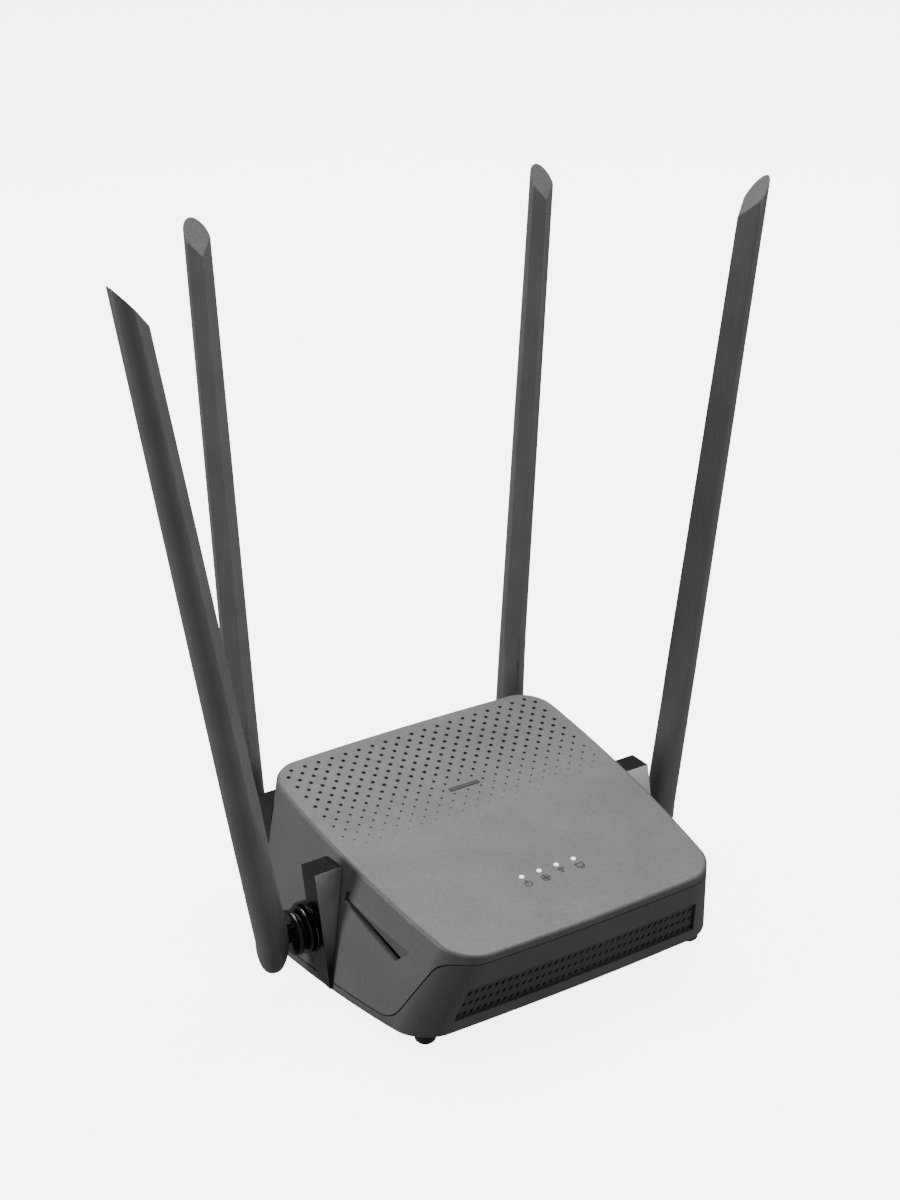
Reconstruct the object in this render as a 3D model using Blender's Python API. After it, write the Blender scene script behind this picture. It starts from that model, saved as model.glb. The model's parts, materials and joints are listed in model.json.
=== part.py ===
"""Wireless router with four swivelling blade antennas, modelled in metres with +Z up.

The case is a flared wedge: a two-part shell, a front grille strip, and a rear panel set in a
niche that carries the sockets and the push buttons.  Two antennas turn on the side walls and
two on the rear wall, each on a stack of discs in front of a raised mount.
"""

import math

import bmesh
import bpy
import numpy as np
from mathutils import Matrix, Vector

# --- Case: plan and height ---------------------------------------------------------------
BASE_FRONT_HALF = 0.0580  # half width of the base at its front edge
BASE_REAR_HALF = 0.0680
TOP_FRONT_HALF = 0.0492
TOP_REAR_HALF = 0.0543
TOP_DEPTH = 0.1090
FRONT_Y = -TOP_DEPTH / 2
REAR_Y = TOP_DEPTH / 2
FRONT_SETBACK = 0.0103  # how far the base's front edge sits behind the top's
REAR_SETBACK = 0.0091  # how far the base's rear edge sits in front of the top's
FRONT_HEIGHT = 0.0321
REAR_HEIGHT = 0.0495
SIDE_SAG = 0.0030  # how far the side edges bow outwards
END_SAG = 0.0012  # how far the front and rear edges bow outwards
CORNER_RADIUS = 0.0105
TOP_EDGE_RADIUS = 0.0012
BASE_CHAMFER = 0.0009
WALL = 0.0020
FLOOR = 0.0018
ROOF = 0.0020
GAP = 0.0003  # between pieces that touch

# --- Parting line between the cover and the base -----------------------------------------
PART_HEIGHT = 0.0028  # along the sides and the rear
PART_FOOT_Y = FRONT_Y + 0.0230  # where the line turns up, in front of the side slots
PART_KNEE_Y = FRONT_Y + 0.0090  # where it levels out below the front edge
PART_BELOW_LIP = 0.0034  # how far below the front top edge the line runs along the front

# --- Front grille -------------------------------------------------------------------------
GRILLE_HALF_BASE = BASE_FRONT_HALF - 0.0110
GRILLE_HALF_TOP = GRILLE_HALF_BASE - 0.0030
GRILLE_LOW = 0.0058
GRILLE_HIGH = FRONT_HEIGHT - 0.0133
GRILLE_BACK_Y = FRONT_Y + 0.0245
GRILLE_RECESS = 0.0009
GRILLE_THICKNESS = 0.0016

# --- Side slots ---------------------------------------------------------------------------
SLOT_REAR = (FRONT_Y + 0.0535, 0.0300)  # Y, Z of the slot's upper end
SLOT_FRONT = (FRONT_Y + 0.0260, 0.0215)
SLOT_WIDTH = 0.0015
SLOT_PAST_WALL = 0.0008  # how far its cutter runs on inside the wall
FACET_CORNER = (FRONT_Y + 0.0210, 0.0262)
FACET_DEPTH = 0.0014

# --- Sockets -------------------------------------------------------------------------------
LAN_COUNT = 4
PORT_WIDTH = 0.0132
PORT_HEIGHT = 0.0130
PORT_DEPTH = 0.0160
PORT_CAVITY_WIDTH = 0.0118
PORT_CAVITY_HEIGHT = 0.0080
PORT_CAVITY_DEPTH = 0.0135
PORT_CAVITY_RAISE = 0.0034  # from the socket's underside to its opening
LATCH_WIDTH = 0.0062
LATCH_DROP = 0.0022
DC_WIDTH = 0.0092
DC_HEIGHT = 0.0110
DC_DEPTH = 0.0140
DC_BORE_RADIUS = 0.0031
DC_BORE_DEPTH = 0.0095
DC_PIN_RADIUS = 0.0010
PORT_SPACE = 0.0004  # between neighbouring local sockets
WAN_SPACE = 0.0020  # between the local sockets and the uplink socket
DC_SPACE = 0.0015  # between the uplink socket and the power socket
PORT_PITCH = PORT_WIDTH + PORT_SPACE
ROW_HALF = ((LAN_COUNT + 1) * PORT_WIDTH + (LAN_COUNT - 1) * PORT_SPACE + WAN_SPACE + DC_SPACE + DC_WIDTH) / 2
LAN_LAST_X = PORT_WIDTH / 2 - ROW_HALF
LAN_FIRST_X = LAN_LAST_X + (LAN_COUNT - 1) * PORT_PITCH
WAN_X = LAN_FIRST_X + PORT_WIDTH + WAN_SPACE
DC_X = ROW_HALF - DC_WIDTH / 2

# --- Main board ----------------------------------------------------------------------------
BOARD_Z = 0.0047
BOARD_THICKNESS = 0.0016
STANDOFF_RADIUS = 0.0026
STANDOFF_INSET = 0.0050
BOARD_TOP = BOARD_Z + BOARD_THICKNESS
ON_BOARD = BOARD_TOP + GAP

# --- Push buttons --------------------------------------------------------------------------
BUTTON_Z = ON_BOARD + PORT_HEIGHT + 0.0069
BUTTON_FLANGE = 0.0009
BUTTON_FLANGE_THICKNESS = 0.0014
BUTTON_RIM = 0.0004
BUTTON_TO_SWITCH = 0.0030  # room for the longest travel
SWITCH_HALF_HEIGHT = 0.0042
SWITCH_BOARD_THICKNESS = 0.0016
SWITCH_BOARD_EDGE = 0.0010  # how far the board runs past the outer switches
BUTTONS = {  # name: X, radius, how far the cap stands out of the panel, half width of its switch
    "power": (DC_X, 0.0034, 0.0016, 0.0045),
    "wps": (WAN_X, 0.0026, 0.0010, 0.0035),
    "reset": (WAN_X - 0.0076, 0.0010, -0.0006, 0.0028),
}

# --- Rear niche and panel ------------------------------------------------------------------
NICHE_HALF = ROW_HALF + 0.00265
NICHE_HIGH = BUTTON_Z + 0.0105
NICHE_LIP = 0.0020
PANEL_FACE_Y = REAR_Y - 0.0094
PANEL_THICKNESS = 0.0018
PANEL_BACK_Y = PANEL_FACE_Y - PANEL_THICKNESS
PORT_FRONT_Y = PANEL_FACE_Y + 0.0004
PORT_BACK_Y = PORT_FRONT_Y - PORT_DEPTH
SWITCH_BOARD_REAR_Y = PORT_BACK_Y - GAP
SWITCH_FACE_Y = PANEL_BACK_Y - GAP - BUTTON_FLANGE_THICKNESS - BUTTON_TO_SWITCH

# --- What the board holds ------------------------------------------------------------------
BOARD_HALF = NICHE_HALF - NICHE_LIP - 0.0001
BOARD_FRONT_Y = FRONT_Y + 0.0165
BOARD_REAR_Y = PANEL_BACK_Y - GAP - NICHE_LIP - 0.0005
MAGNETICS_X = (LAN_LAST_X - 0.0026, WAN_X + 0.0054)
MAGNETICS_DEPTH = 0.0105
MAGNETICS_HEIGHT = 0.0065
MAGNETICS_REAR_Y = SWITCH_BOARD_REAR_Y - SWITCH_BOARD_THICKNESS - GAP
MAGNETICS_FRONT_Y = MAGNETICS_REAR_Y - MAGNETICS_DEPTH
CHIPS_FRONT_Y = BOARD_FRONT_Y + 0.0220
CHIPS_REAR_Y = MAGNETICS_FRONT_Y - 0.0068
SHIELD_X = (-0.0320, -0.0020)
SHIELD_HEIGHT = 0.0035
SINK_X = (0.0040, 0.0305)
SINK_HEIGHT = 0.0120
SINK_FLOOR = 0.0022
FIN_COUNT = 7
FIN_THICKNESS = 0.0016
CAPACITOR_RADIUS = 0.0040
CAPACITOR_HEIGHT = 0.0130
CAPACITOR_BEHIND = 0.0068  # from its axis to the line transformer's rear

# --- Status lights -------------------------------------------------------------------------
LIGHT_COUNT = 4
LIGHT_PITCH = 0.0067
LIGHT_Y = FRONT_Y + 0.0253
LIGHT_RADIUS = 0.0008
LIGHT_BAR_HALF = 0.0016  # half depth of the bars under the lights, and their reach past the last one
LIGHT_BAR_Z = 0.0200
LIGHT_BAR_THICKNESS = 0.0016
LIGHT_PROUD = 0.0001
LED_BOARD_HEIGHT = 0.0016
LED_HEIGHT = 0.0006
LED_HALF = 0.0008

# --- Feet and screws -----------------------------------------------------------------------
FOOT_RADIUS = 0.0034
FOOT_HEIGHT = 0.0038
FOOT_SOCKET = 0.0006
FOOT_RIM = 0.0009
FRONT_FOOT_Y = FRONT_Y + 0.0164
REAR_FOOT_Y = REAR_Y - 0.0165
FRONT_FOOT_INSET = 0.0075  # from the base's side edge
REAR_FOOT_INSET = 0.0086
SCREW_HEAD_RADIUS = 0.0028
SCREW_SHANK_RADIUS = 0.0014
SCREW_TOP = 0.0150
POST_TOP = 0.0080
POST_RADIUS = 0.0042
SCREW_SEAT = 0.0026
SCREW_SUNK = 0.0005
DRIVE_LENGTH = 0.0040
DRIVE_WIDTH = 0.0008
DRIVE_DEPTH = 0.0007
FRONT_SCREW_Y = FRONT_Y + 0.0320
REAR_SCREW_Y = REAR_Y - 0.0320
FRONT_SCREW_X = BOARD_HALF + 0.0050
REAR_SCREW_X = BOARD_HALF + 0.0095

# --- Antennas ------------------------------------------------------------------------------
HINGE_Z = 0.0155
SIDE_HINGE_Y = FRONT_Y + 0.0650
SIDE_MOUNT_PROUD = 0.0006  # from the widest wall behind the side mount to its face
REAR_MOUNT_PROUD = 0.0035  # from the wall behind the rear rib's top to the mount's face
SIDE_CANT = math.radians(9.0)  # how far the side blades lean away from the case
REAR_LEAN = math.radians(3.0)  # how far the rear blades are turned outwards at rest
SIDE_LEAN = math.radians(2.0)  # how far the side blades are turned backwards at rest
MOUNT_PAD_RADIUS = 0.0088
MOUNT_DEPTH = 0.0170  # before the case is taken out of it
REAR_HINGE_X = NICHE_HALF + 0.0011 + MOUNT_PAD_RADIUS
RIB_WIDTH = 0.0084
RIB_SET = 0.0003  # how far the rib sits behind the pad's face
SIDE_RIB_TOP = 0.0385
SIDE_RIB_FOOT = -0.0151  # front edge of the rib at the base, from the axis
SIDE_RIB_HEAD = -0.0071  # front edge of the rib at its top
REAR_RIB_TOP = 0.0400
STEM_RADIUS = 0.0026
STEM_BORE = STEM_RADIUS + GAP
STEM_HOLE = STEM_RADIUS + 0.0009  # in the walls
STEM_REACH = 0.0045  # how far the stems run on inside the walls
COLLAR_RADIUS = 0.0080
COLLAR_THICKNESS = 0.0016
WASHER_RADIUS = 0.0064
WASHER_THICKNESS = 0.0012
HUB_RADIUS = 0.0076
HUB_THICKNESS = 0.0018
SPIGOT_RADIUS = 0.0030
SPIGOT_LENGTH = 0.0034
CLIP_RADIUS = 0.0048
CLIP_THICKNESS = 0.0012
CLIP_FROM_END = 0.0004
BLADE_WIDTH = 0.0098
BLADE_THICKNESS = 0.0110
BLADE_ABOVE = 0.2170  # from the hinge's axis to the highest point of the tip
BLADE_BELOW = 0.0115
BLADE_TIP_SHARE = 0.84  # width of the tip over the width of the root
BLADE_ROOT = ((-1.0, 0.30), (-0.93, 0.58), (-0.80, 0.80), (-0.60, 0.94), (-0.35, 1.0))  # depth, width shares
BLADE_ROUND_END = 0.0500  # where the round root has turned into the faceted blade
CREASE_OFFSET = 0.30  # of the crease, over the half width
FACET_EDGE = 0.96  # where the facets meet the round side, over the half width
FACET_RISE = 0.88  # how far the facets rise from the crease, over the half thickness
BLADE_STAND = 0.0004  # from the hub to the blade, past the gap
TIP_CUT = math.radians(48.0)
DISC_CHAMFER = 0.0005

ROUND = 24  # sides of a round piece
ROUND_SMALL = 12

# Stations along each antenna's axis, from its mount's face.
COLLAR_START = GAP
WASHER_START = COLLAR_START + COLLAR_THICKNESS + GAP
HUB_START = WASHER_START + WASHER_THICKNESS + GAP
BLADE_INNER = HUB_START + HUB_THICKNESS + GAP
BLADE_CENTRE = BLADE_INNER + BLADE_THICKNESS / 2 + BLADE_STAND


# --- Plain shapes, each a pair of points and faces ------------------------------------------
def box(low, high):
    (x0, y0, z0), (x1, y1, z1) = low, high
    points = [(x, y, z) for z in (z0, z1) for x, y in ((x0, y0), (x1, y0), (x1, y1), (x0, y1))]
    faces = [(3, 2, 1, 0), (4, 5, 6, 7), (0, 1, 5, 4), (1, 2, 6, 5), (2, 3, 7, 6), (3, 0, 4, 7)]
    return points, faces


def loft(loops, twisted=False):
    """A closed solid through loops of equal length, flat at both ends.

    Twisted sides are split into triangles, always along the same diagonal, so that two solids
    with the same sides stay parallel.
    """
    count = len(loops[0])
    points = [tuple(p) for loop in loops for p in loop]
    faces = [tuple(reversed(range(count)))]
    for row in range(len(loops) - 1):
        low = row * count
        high = low + count
        for i in range(count):
            j = (i + 1) % count
            if twisted:
                faces += [(low + i, low + j, high + j), (low + i, high + j, high + i)]
            else:
                faces.append((low + i, low + j, high + j, high + i))
    faces.append(tuple(range(len(points) - count, len(points))))
    return points, faces


def prism(outline, axis, low, high):
    """An outline in the plane across axis 'X', 'Y' or 'Z', pulled from low to high along it."""
    order = {"X": lambda a, b, t: (t, a, b), "Y": lambda a, b, t: (a, t, b), "Z": lambda a, b, t: (a, b, t)}
    place = order[axis]
    return loft([[place(a, b, t) for a, b in outline] for t in (low, high)])


def circle(radius, centre=(0.0, 0.0), sides=ROUND):
    turns = [2 * math.pi * i / sides for i in range(sides)]
    return [(centre[0] + radius * math.cos(t), centre[1] + radius * math.sin(t)) for t in turns]


def rod(radius, axis, centre, low, high, sides=ROUND):
    return prism(circle(radius, centre, sides), axis, low, high)


def turned(profile, sides=ROUND):
    """A round solid about X, from (x, radius) pairs."""
    loops = [[(x, a, b) for a, b in circle(radius, sides=sides)] for x, radius in profile]
    return loft(loops)


def disc(start, thickness, radius):
    """A disc on the X axis with its two rims broken."""
    end = start + thickness
    inner = radius - DISC_CHAMFER
    return turned(
        [(start, inner), (start + DISC_CHAMFER, radius), (end - DISC_CHAMFER, radius), (end, inner)]
    )


def hull(points):
    """The convex solid around a few points."""
    shape = bmesh.new()
    for p in points:
        shape.verts.new(p)
    bmesh.ops.convex_hull(shape, input=shape.verts)
    loose = [v for v in shape.verts if not v.link_faces]
    bmesh.ops.delete(shape, geom=loose, context="VERTS")
    shape.verts.index_update()
    corners = [tuple(v.co) for v in shape.verts]
    faces = [tuple(v.index for v in f.verts) for f in shape.faces]
    shape.free()
    return corners, faces


def joined(*shapes):
    """Shapes that don't touch, as one list of points and faces."""
    points = []
    faces = []
    for more_points, more_faces in shapes:
        start = len(points)
        points += list(more_points)
        faces += [tuple(i + start for i in face) for face in more_faces]
    return points, faces


# --- Objects and materials -------------------------------------------------------------------
def plastic(name, colour, roughness, metallic=0.0, coat=0.0):
    material = bpy.data.materials.new(name)
    material.use_nodes = True
    shader = material.node_tree.nodes["Principled BSDF"]
    shader.inputs["Base Color"].default_value = (*colour, 1.0)
    shader.inputs["Roughness"].default_value = roughness
    shader.inputs["Metallic"].default_value = metallic
    shader.inputs["Coat Weight"].default_value = coat
    material.diffuse_color = (*colour, 1.0)
    return material


def make(name, shape, material, parent):
    mesh = bpy.data.meshes.new(name)
    points, faces = shape
    mesh.from_pydata(points, [], faces)
    work = bmesh.new()
    work.from_mesh(mesh)
    bmesh.ops.recalc_face_normals(work, faces=work.faces)
    work.to_mesh(mesh)
    work.free()
    mesh.shade_smooth()
    mesh.set_sharp_from_angle(angle=math.radians(32))
    piece = bpy.data.objects.new(name, mesh)
    bpy.context.collection.objects.link(piece)
    piece.parent = parent
    if material:
        mesh.materials.append(material)
    return piece


def hidden(name, shape, parent):
    """A tool that only cuts or joins other pieces."""
    tool = make(name, shape, None, parent)
    tool.hide_render = True
    tool.display_type = "WIRE"
    return tool


def apply_tool(piece, tool, operation, label):
    change = piece.modifiers.new(label, "BOOLEAN")
    change.operation = operation
    change.solver = "EXACT"
    change.object = tool


def combine(piece, shape, operation, label):
    """Adds a Boolean with a hidden tool of its own to a piece."""
    apply_tool(piece, hidden(f"tool_{piece.name}_{label}", shape, piece.parent), operation, label)


def cut(piece, shape, label):
    combine(piece, shape, "DIFFERENCE", label)


def add(piece, shape, label):
    combine(piece, shape, "UNION", label)


def keep(piece, shape, label):
    combine(piece, shape, "INTERSECT", label)


def empty(name, parent, place=Matrix()):
    anchor = bpy.data.objects.new(name, None)
    bpy.context.collection.objects.link(anchor)
    anchor.empty_display_size = 0.01
    anchor.parent = parent
    anchor.matrix_local = place
    return anchor


# --- The case's surface ----------------------------------------------------------------------
EDGE_STEPS = 6
CORNER_STEPS = 5
ARC_HANDLE = 0.5523  # handle of a quarter circle drawn as one cubic curve


def bowed(start, end, sag, share):
    """Point and direction on an edge that bows outwards, a share of the way along it."""
    along = end - start
    outward = np.array([along[1], -along[0]]) / np.linalg.norm(along)
    point = start + along * share + outward * sag * 4 * share * (1 - share)
    heading = along + outward * sag * 4 * (1 - 2 * share)
    return point, heading / np.linalg.norm(heading)


def plan(front_half, rear_half, front_y, rear_y):
    """The outline in plan, anticlockwise: four bowed edges and four smooth corners."""
    corners = [
        np.array(p)
        for p in ((-front_half, front_y), (front_half, front_y), (rear_half, rear_y), (-rear_half, rear_y))
    ]
    sags = (END_SAG, SIDE_SAG, END_SAG, SIDE_SAG)
    loop = []
    for k in range(4):
        start, end, beyond = corners[k], corners[(k + 1) % 4], corners[(k + 2) % 4]
        share = CORNER_RADIUS / np.linalg.norm(end - start)
        next_share = CORNER_RADIUS / np.linalg.norm(beyond - end)
        loop += [bowed(start, end, sags[k], s)[0] for s in np.linspace(share, 1 - share, EDGE_STEPS + 1)]
        leave, heading = bowed(start, end, sags[k], 1 - share)
        arrive, onward = bowed(end, beyond, sags[(k + 1) % 4], next_share)
        first = leave + heading * CORNER_RADIUS * ARC_HANDLE
        second = arrive - onward * CORNER_RADIUS * ARC_HANDLE
        for t in np.linspace(0, 1, CORNER_STEPS + 1)[1:-1]:
            rest = 1 - t
            weights = (rest**3, 3 * rest * rest * t, 3 * rest * t * t, t**3)
            loop.append(sum(w * p for w, p in zip(weights, (leave, first, second, arrive))))
    return np.array(loop)


def top_height(y):
    """Height of the sloping top at a depth."""
    return FRONT_HEIGHT + (REAR_HEIGHT - FRONT_HEIGHT) * (y - FRONT_Y) / TOP_DEPTH


BASE_PLAN = plan(BASE_FRONT_HALF, BASE_REAR_HALF, FRONT_Y + FRONT_SETBACK, REAR_Y - REAR_SETBACK)
TOP_PLAN = plan(TOP_FRONT_HALF, TOP_REAR_HALF, FRONT_Y, REAR_Y)
RIM_HEIGHT = top_height(TOP_PLAN[:, 1])


def drawn_in(loop, distance):
    """The loop moved inwards in plan."""
    tangent = np.roll(loop, -1, axis=0)[:, :2] - np.roll(loop, 1, axis=0)[:, :2]
    tangent /= np.linalg.norm(tangent, axis=1)[:, None]
    moved = loop.copy()
    moved[:, 0] -= tangent[:, 1] * distance
    moved[:, 1] += tangent[:, 0] * distance
    return moved


def ring_at(heights, inset):
    """The case's outline at these heights, one for each of its points, drawn in by inset."""
    share = (heights / RIM_HEIGHT)[:, None]
    flat = BASE_PLAN * (1 - share) + TOP_PLAN * share
    return drawn_in(np.column_stack([flat, heights]), inset)


def above_base(height, inset):
    return ring_at(np.full(len(RIM_HEIGHT), height), inset)


def below_top(drop, inset):
    """The outline at a drop below the top, kept in the plane of the top's slope."""
    ring = ring_at(RIM_HEIGHT - drop, inset)
    ring[:, 2] = top_height(ring[:, 1]) - drop
    return ring


def case_body(inset=0.0):
    """The whole case as one solid, drawn in by inset all round, with its edges softened."""
    steps = [math.radians(a) for a in (0, 30, 60, 90)]
    radius = TOP_EDGE_RADIUS
    low = [above_base(inset, inset + BASE_CHAMFER), above_base(inset + BASE_CHAMFER, inset)]
    high = [
        below_top(inset + radius * (1 - math.sin(a)), inset + radius * (1 - math.cos(a))) for a in steps
    ]
    return loft(low + high, twisted=True)


def case_cavity():
    rings = [above_base(FLOOR, WALL), below_top(ROOF + WALL, WALL), below_top(ROOF, 2 * WALL)]
    return loft(rings, twisted=True)


def side_x(y, z):
    """Half width of the case's outer surface at a depth and a height."""
    up = z / top_height(y)
    front = FRONT_Y + FRONT_SETBACK * (1 - up)
    rear = REAR_Y - REAR_SETBACK * (1 - up)
    share = (y - front) / (rear - front)
    base = BASE_FRONT_HALF + (BASE_REAR_HALF - BASE_FRONT_HALF) * share
    top = TOP_FRONT_HALF + (TOP_REAR_HALF - TOP_FRONT_HALF) * share
    return base * (1 - up) + top * up + SIDE_SAG * 4 * share * (1 - share)


def rear_y(z):
    """Depth of the case's rear wall at a height, without its bow."""
    return REAR_Y - REAR_SETBACK * (1 - z / REAR_HEIGHT)


def four_places(front_x, front_y, rear_x, rear_y):
    return {
        "fl": (-front_x, front_y),
        "fr": (front_x, front_y),
        "rl": (-rear_x, rear_y),
        "rr": (rear_x, rear_y),
    }


FEET = four_places(
    side_x(FRONT_FOOT_Y, 0.0) - FRONT_FOOT_INSET,
    FRONT_FOOT_Y,
    side_x(REAR_FOOT_Y, 0.0) - REAR_FOOT_INSET,
    REAR_FOOT_Y,
)
SCREWS = four_places(FRONT_SCREW_X, FRONT_SCREW_Y, REAR_SCREW_X, REAR_SCREW_Y)
PAD_SIDES_Y = (SIDE_HINGE_Y - MOUNT_PAD_RADIUS, SIDE_HINGE_Y + MOUNT_PAD_RADIUS)
SIDE_FACE_X = max(side_x(y, HINGE_Z - MOUNT_PAD_RADIUS) for y in PAD_SIDES_Y) + SIDE_MOUNT_PROUD
REAR_FACE_Y = rear_y(REAR_RIB_TOP) + REAR_MOUNT_PROUD
STEM_INSIDE = {
    "side": SIDE_FACE_X - side_x(SIDE_HINGE_Y, HINGE_Z) + WALL + STEM_REACH,
    "rear": REAR_FACE_Y - rear_y(HINGE_Z) + WALL + STEM_REACH,
}


def softened(points, radius):
    """A path with its inner corners rounded."""
    path = [np.array(points[0])]
    for before, corner, after in zip(points, points[1:], points[2:]):
        before, corner, after = (np.array(p) for p in (before, corner, after))
        back = (before - corner) / np.linalg.norm(before - corner)
        on = (after - corner) / np.linalg.norm(after - corner)
        for t in np.linspace(0, 1, 7):
            path.append(corner + back * radius * (1 - t) ** 2 + on * radius * t**2)
    path.append(np.array(points[-1]))
    return np.array(path)


def part_region(rise):
    """The space under the parting line, in Y and Z, with the line raised by rise."""
    far = 2 * TOP_DEPTH
    lip = FRONT_HEIGHT - PART_BELOW_LIP
    line = softened(
        [(far, PART_HEIGHT), (PART_FOOT_Y, PART_HEIGHT), (PART_KNEE_Y, lip), (-far, lip)], 0.0055
    )
    tangent = np.gradient(line, axis=0)
    tangent /= np.linalg.norm(tangent, axis=1)[:, None]
    line = line + np.column_stack([tangent[:, 1], -tangent[:, 0]]) * rise
    return [tuple(p) for p in line] + [(-far, -far), (far, -far)]


def across(outline):
    """An outline in Y and Z pulled right across the case."""
    return prism(outline, "X", -TOP_DEPTH, TOP_DEPTH)


# --- Case pieces -----------------------------------------------------------------------------
def stem_holes():
    """Round holes through the walls where the antennas' stems pass."""
    shapes = []
    for side in (-1, 1):
        inner = side * (SIDE_FACE_X - STEM_INSIDE["side"])
        outer = side * (SIDE_FACE_X + MOUNT_DEPTH)
        shapes.append(rod(STEM_HOLE, "X", (SIDE_HINGE_Y, HINGE_Z), min(inner, outer), max(inner, outer), 16))
        inner = REAR_FACE_Y - STEM_INSIDE["rear"]
        outer = REAR_FACE_Y + MOUNT_DEPTH
        shapes.append(rod(STEM_HOLE, "Y", (side * REAR_HINGE_X, HINGE_Z), inner, outer, 16))
    return joined(*shapes)


def side_slots():
    """The slanted slot through each side wall."""
    high = np.array(SLOT_REAR)
    low = np.array(SLOT_FRONT)
    along = (low - high) / np.linalg.norm(low - high)
    half = np.array([-along[1], along[0]]) * SLOT_WIDTH / 2
    corners = [high + half, high - half, low - half, low + half]
    outline = [tuple(c) for c in corners]
    inner = min(side_x(*SLOT_REAR), side_x(*SLOT_FRONT)) - WALL - SLOT_PAST_WALL
    outer = BASE_REAR_HALF * 1.3
    return joined(prism(outline, "X", inner, outer), prism(outline, "X", -outer, -inner))


def side_facets():
    """The shallow three-cornered facet that runs down into each slot."""
    marks = (SLOT_REAR, SLOT_FRONT, FACET_CORNER)
    sinks = (0.0, FACET_DEPTH, 0.0)
    shapes = []
    for side in (-1, 1):
        floor = [(side * (side_x(y, z) - sink), y, z) for (y, z), sink in zip(marks, sinks)]
        outside = [(side * (side_x(y, z) + 0.003), y, z) for y, z in marks]
        shapes.append(hull(floor + outside))
    return joined(*shapes)


def light_places():
    middle = (LIGHT_COUNT - 1) / 2
    return [(LIGHT_PITCH * (i - middle), LIGHT_Y) for i in range(LIGHT_COUNT)]


def build_top_cover(root, material):
    cover = make("top_cover", case_body(), material, root)
    cut(cover, case_cavity(), "inside")
    cut(cover, across(part_region(GAP / 2)), "parting")
    frame = hidden("tool_niche_frame_body", case_body(inset=WALL / 2), root)
    frame_y = PANEL_BACK_Y - GAP - NICHE_LIP
    outer = NICHE_HALF + NICHE_LIP
    low = PART_HEIGHT + GAP / 2
    keep(frame, box((-outer, frame_y, low), (outer, REAR_Y + 0.01, NICHE_HIGH + NICHE_LIP)), "frame")
    apply_tool(cover, frame, "UNION", "niche")
    lip_y = PANEL_BACK_Y - GAP
    cut(cover, box((-NICHE_HALF, lip_y, -0.01), (NICHE_HALF, REAR_Y + 0.02, NICHE_HIGH)), "niche_space")
    inner = NICHE_HALF - NICHE_LIP
    cut(cover, box((-inner, frame_y - 0.005, -0.01), (inner, lip_y + 0.001, NICHE_HIGH - NICHE_LIP)), "mouth")
    posts = [
        rod(POST_RADIUS - 0.0004, "Z", place, POST_TOP + GAP, top_height(place[1]) - ROOF / 2, 16)
        for place in SCREWS.values()
    ]
    add(cover, joined(*posts), "posts")
    bores = [
        rod(SCREW_SHANK_RADIUS + GAP, "Z", place, POST_TOP - 0.001, SCREW_TOP + 0.001, ROUND_SMALL)
        for place in SCREWS.values()
    ]
    cut(cover, joined(*bores), "post_bores")
    cut(cover, side_facets(), "facets")
    cut(cover, side_slots(), "slots")
    lights = [rod(LIGHT_RADIUS + GAP, "Z", place, 0.020, 0.060, ROUND_SMALL) for place in light_places()]
    cut(cover, joined(*lights), "lights")
    cut(cover, stem_holes(), "stems")


def build_bottom_case(root, material):
    case = make("bottom_case", case_body(), material, root)
    cut(case, case_cavity(), "inside")
    keep(case, across(part_region(-GAP / 2)), "parting")
    posts = [rod(POST_RADIUS, "Z", place, FLOOR / 2, POST_TOP, 16) for place in SCREWS.values()]
    standoffs = [
        rod(STANDOFF_RADIUS, "Z", place, FLOOR / 2, BOARD_Z - GAP, ROUND_SMALL) for place in standoff_places()
    ]
    add(case, joined(*posts, *standoffs), "posts")
    shank = SCREW_SHANK_RADIUS + GAP
    bores = [rod(shank, "Z", place, -0.01, POST_TOP + 0.01, ROUND_SMALL) for place in SCREWS.values()]
    cut(case, joined(*bores), "screw_bores")
    seats = [rod(SCREW_HEAD_RADIUS + GAP, "Z", place, -0.01, SCREW_SEAT, 16) for place in SCREWS.values()]
    cut(case, joined(*seats), "screw_seats")
    sockets = [rod(FOOT_RADIUS + GAP, "Z", place, -0.01, FOOT_SOCKET) for place in FEET.values()]
    cut(case, joined(*sockets), "foot_sockets")
    cut(case, grille_window(0.0), "grille_window")
    cut(case, stem_holes(), "stems")


def standoff_places():
    x = BOARD_HALF - STANDOFF_INSET
    depths = (BOARD_FRONT_Y + STANDOFF_INSET, PORT_BACK_Y - 2 * STANDOFF_INSET)
    return [(side * x, y) for side in (-1, 1) for y in depths]


def grille_window(shrink):
    """The grille's opening through the front wall, wider at the base, made smaller by shrink."""
    low = GRILLE_LOW + shrink
    high = GRILLE_HIGH - shrink
    half_low = GRILLE_HALF_BASE - shrink
    half_high = GRILLE_HALF_TOP - shrink
    outline = [(-half_low, low), (half_low, low), (half_high, high), (-half_high, high)]
    return prism(outline, "Y", FRONT_Y - 0.01, GRILLE_BACK_Y)


def build_front_grille(root, material):
    grille = make("front_grille", case_body(inset=GRILLE_RECESS), material, root)
    cut(grille, case_body(inset=GRILLE_RECESS + GRILLE_THICKNESS), "inside")
    keep(grille, grille_window(GAP), "outline")


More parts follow.
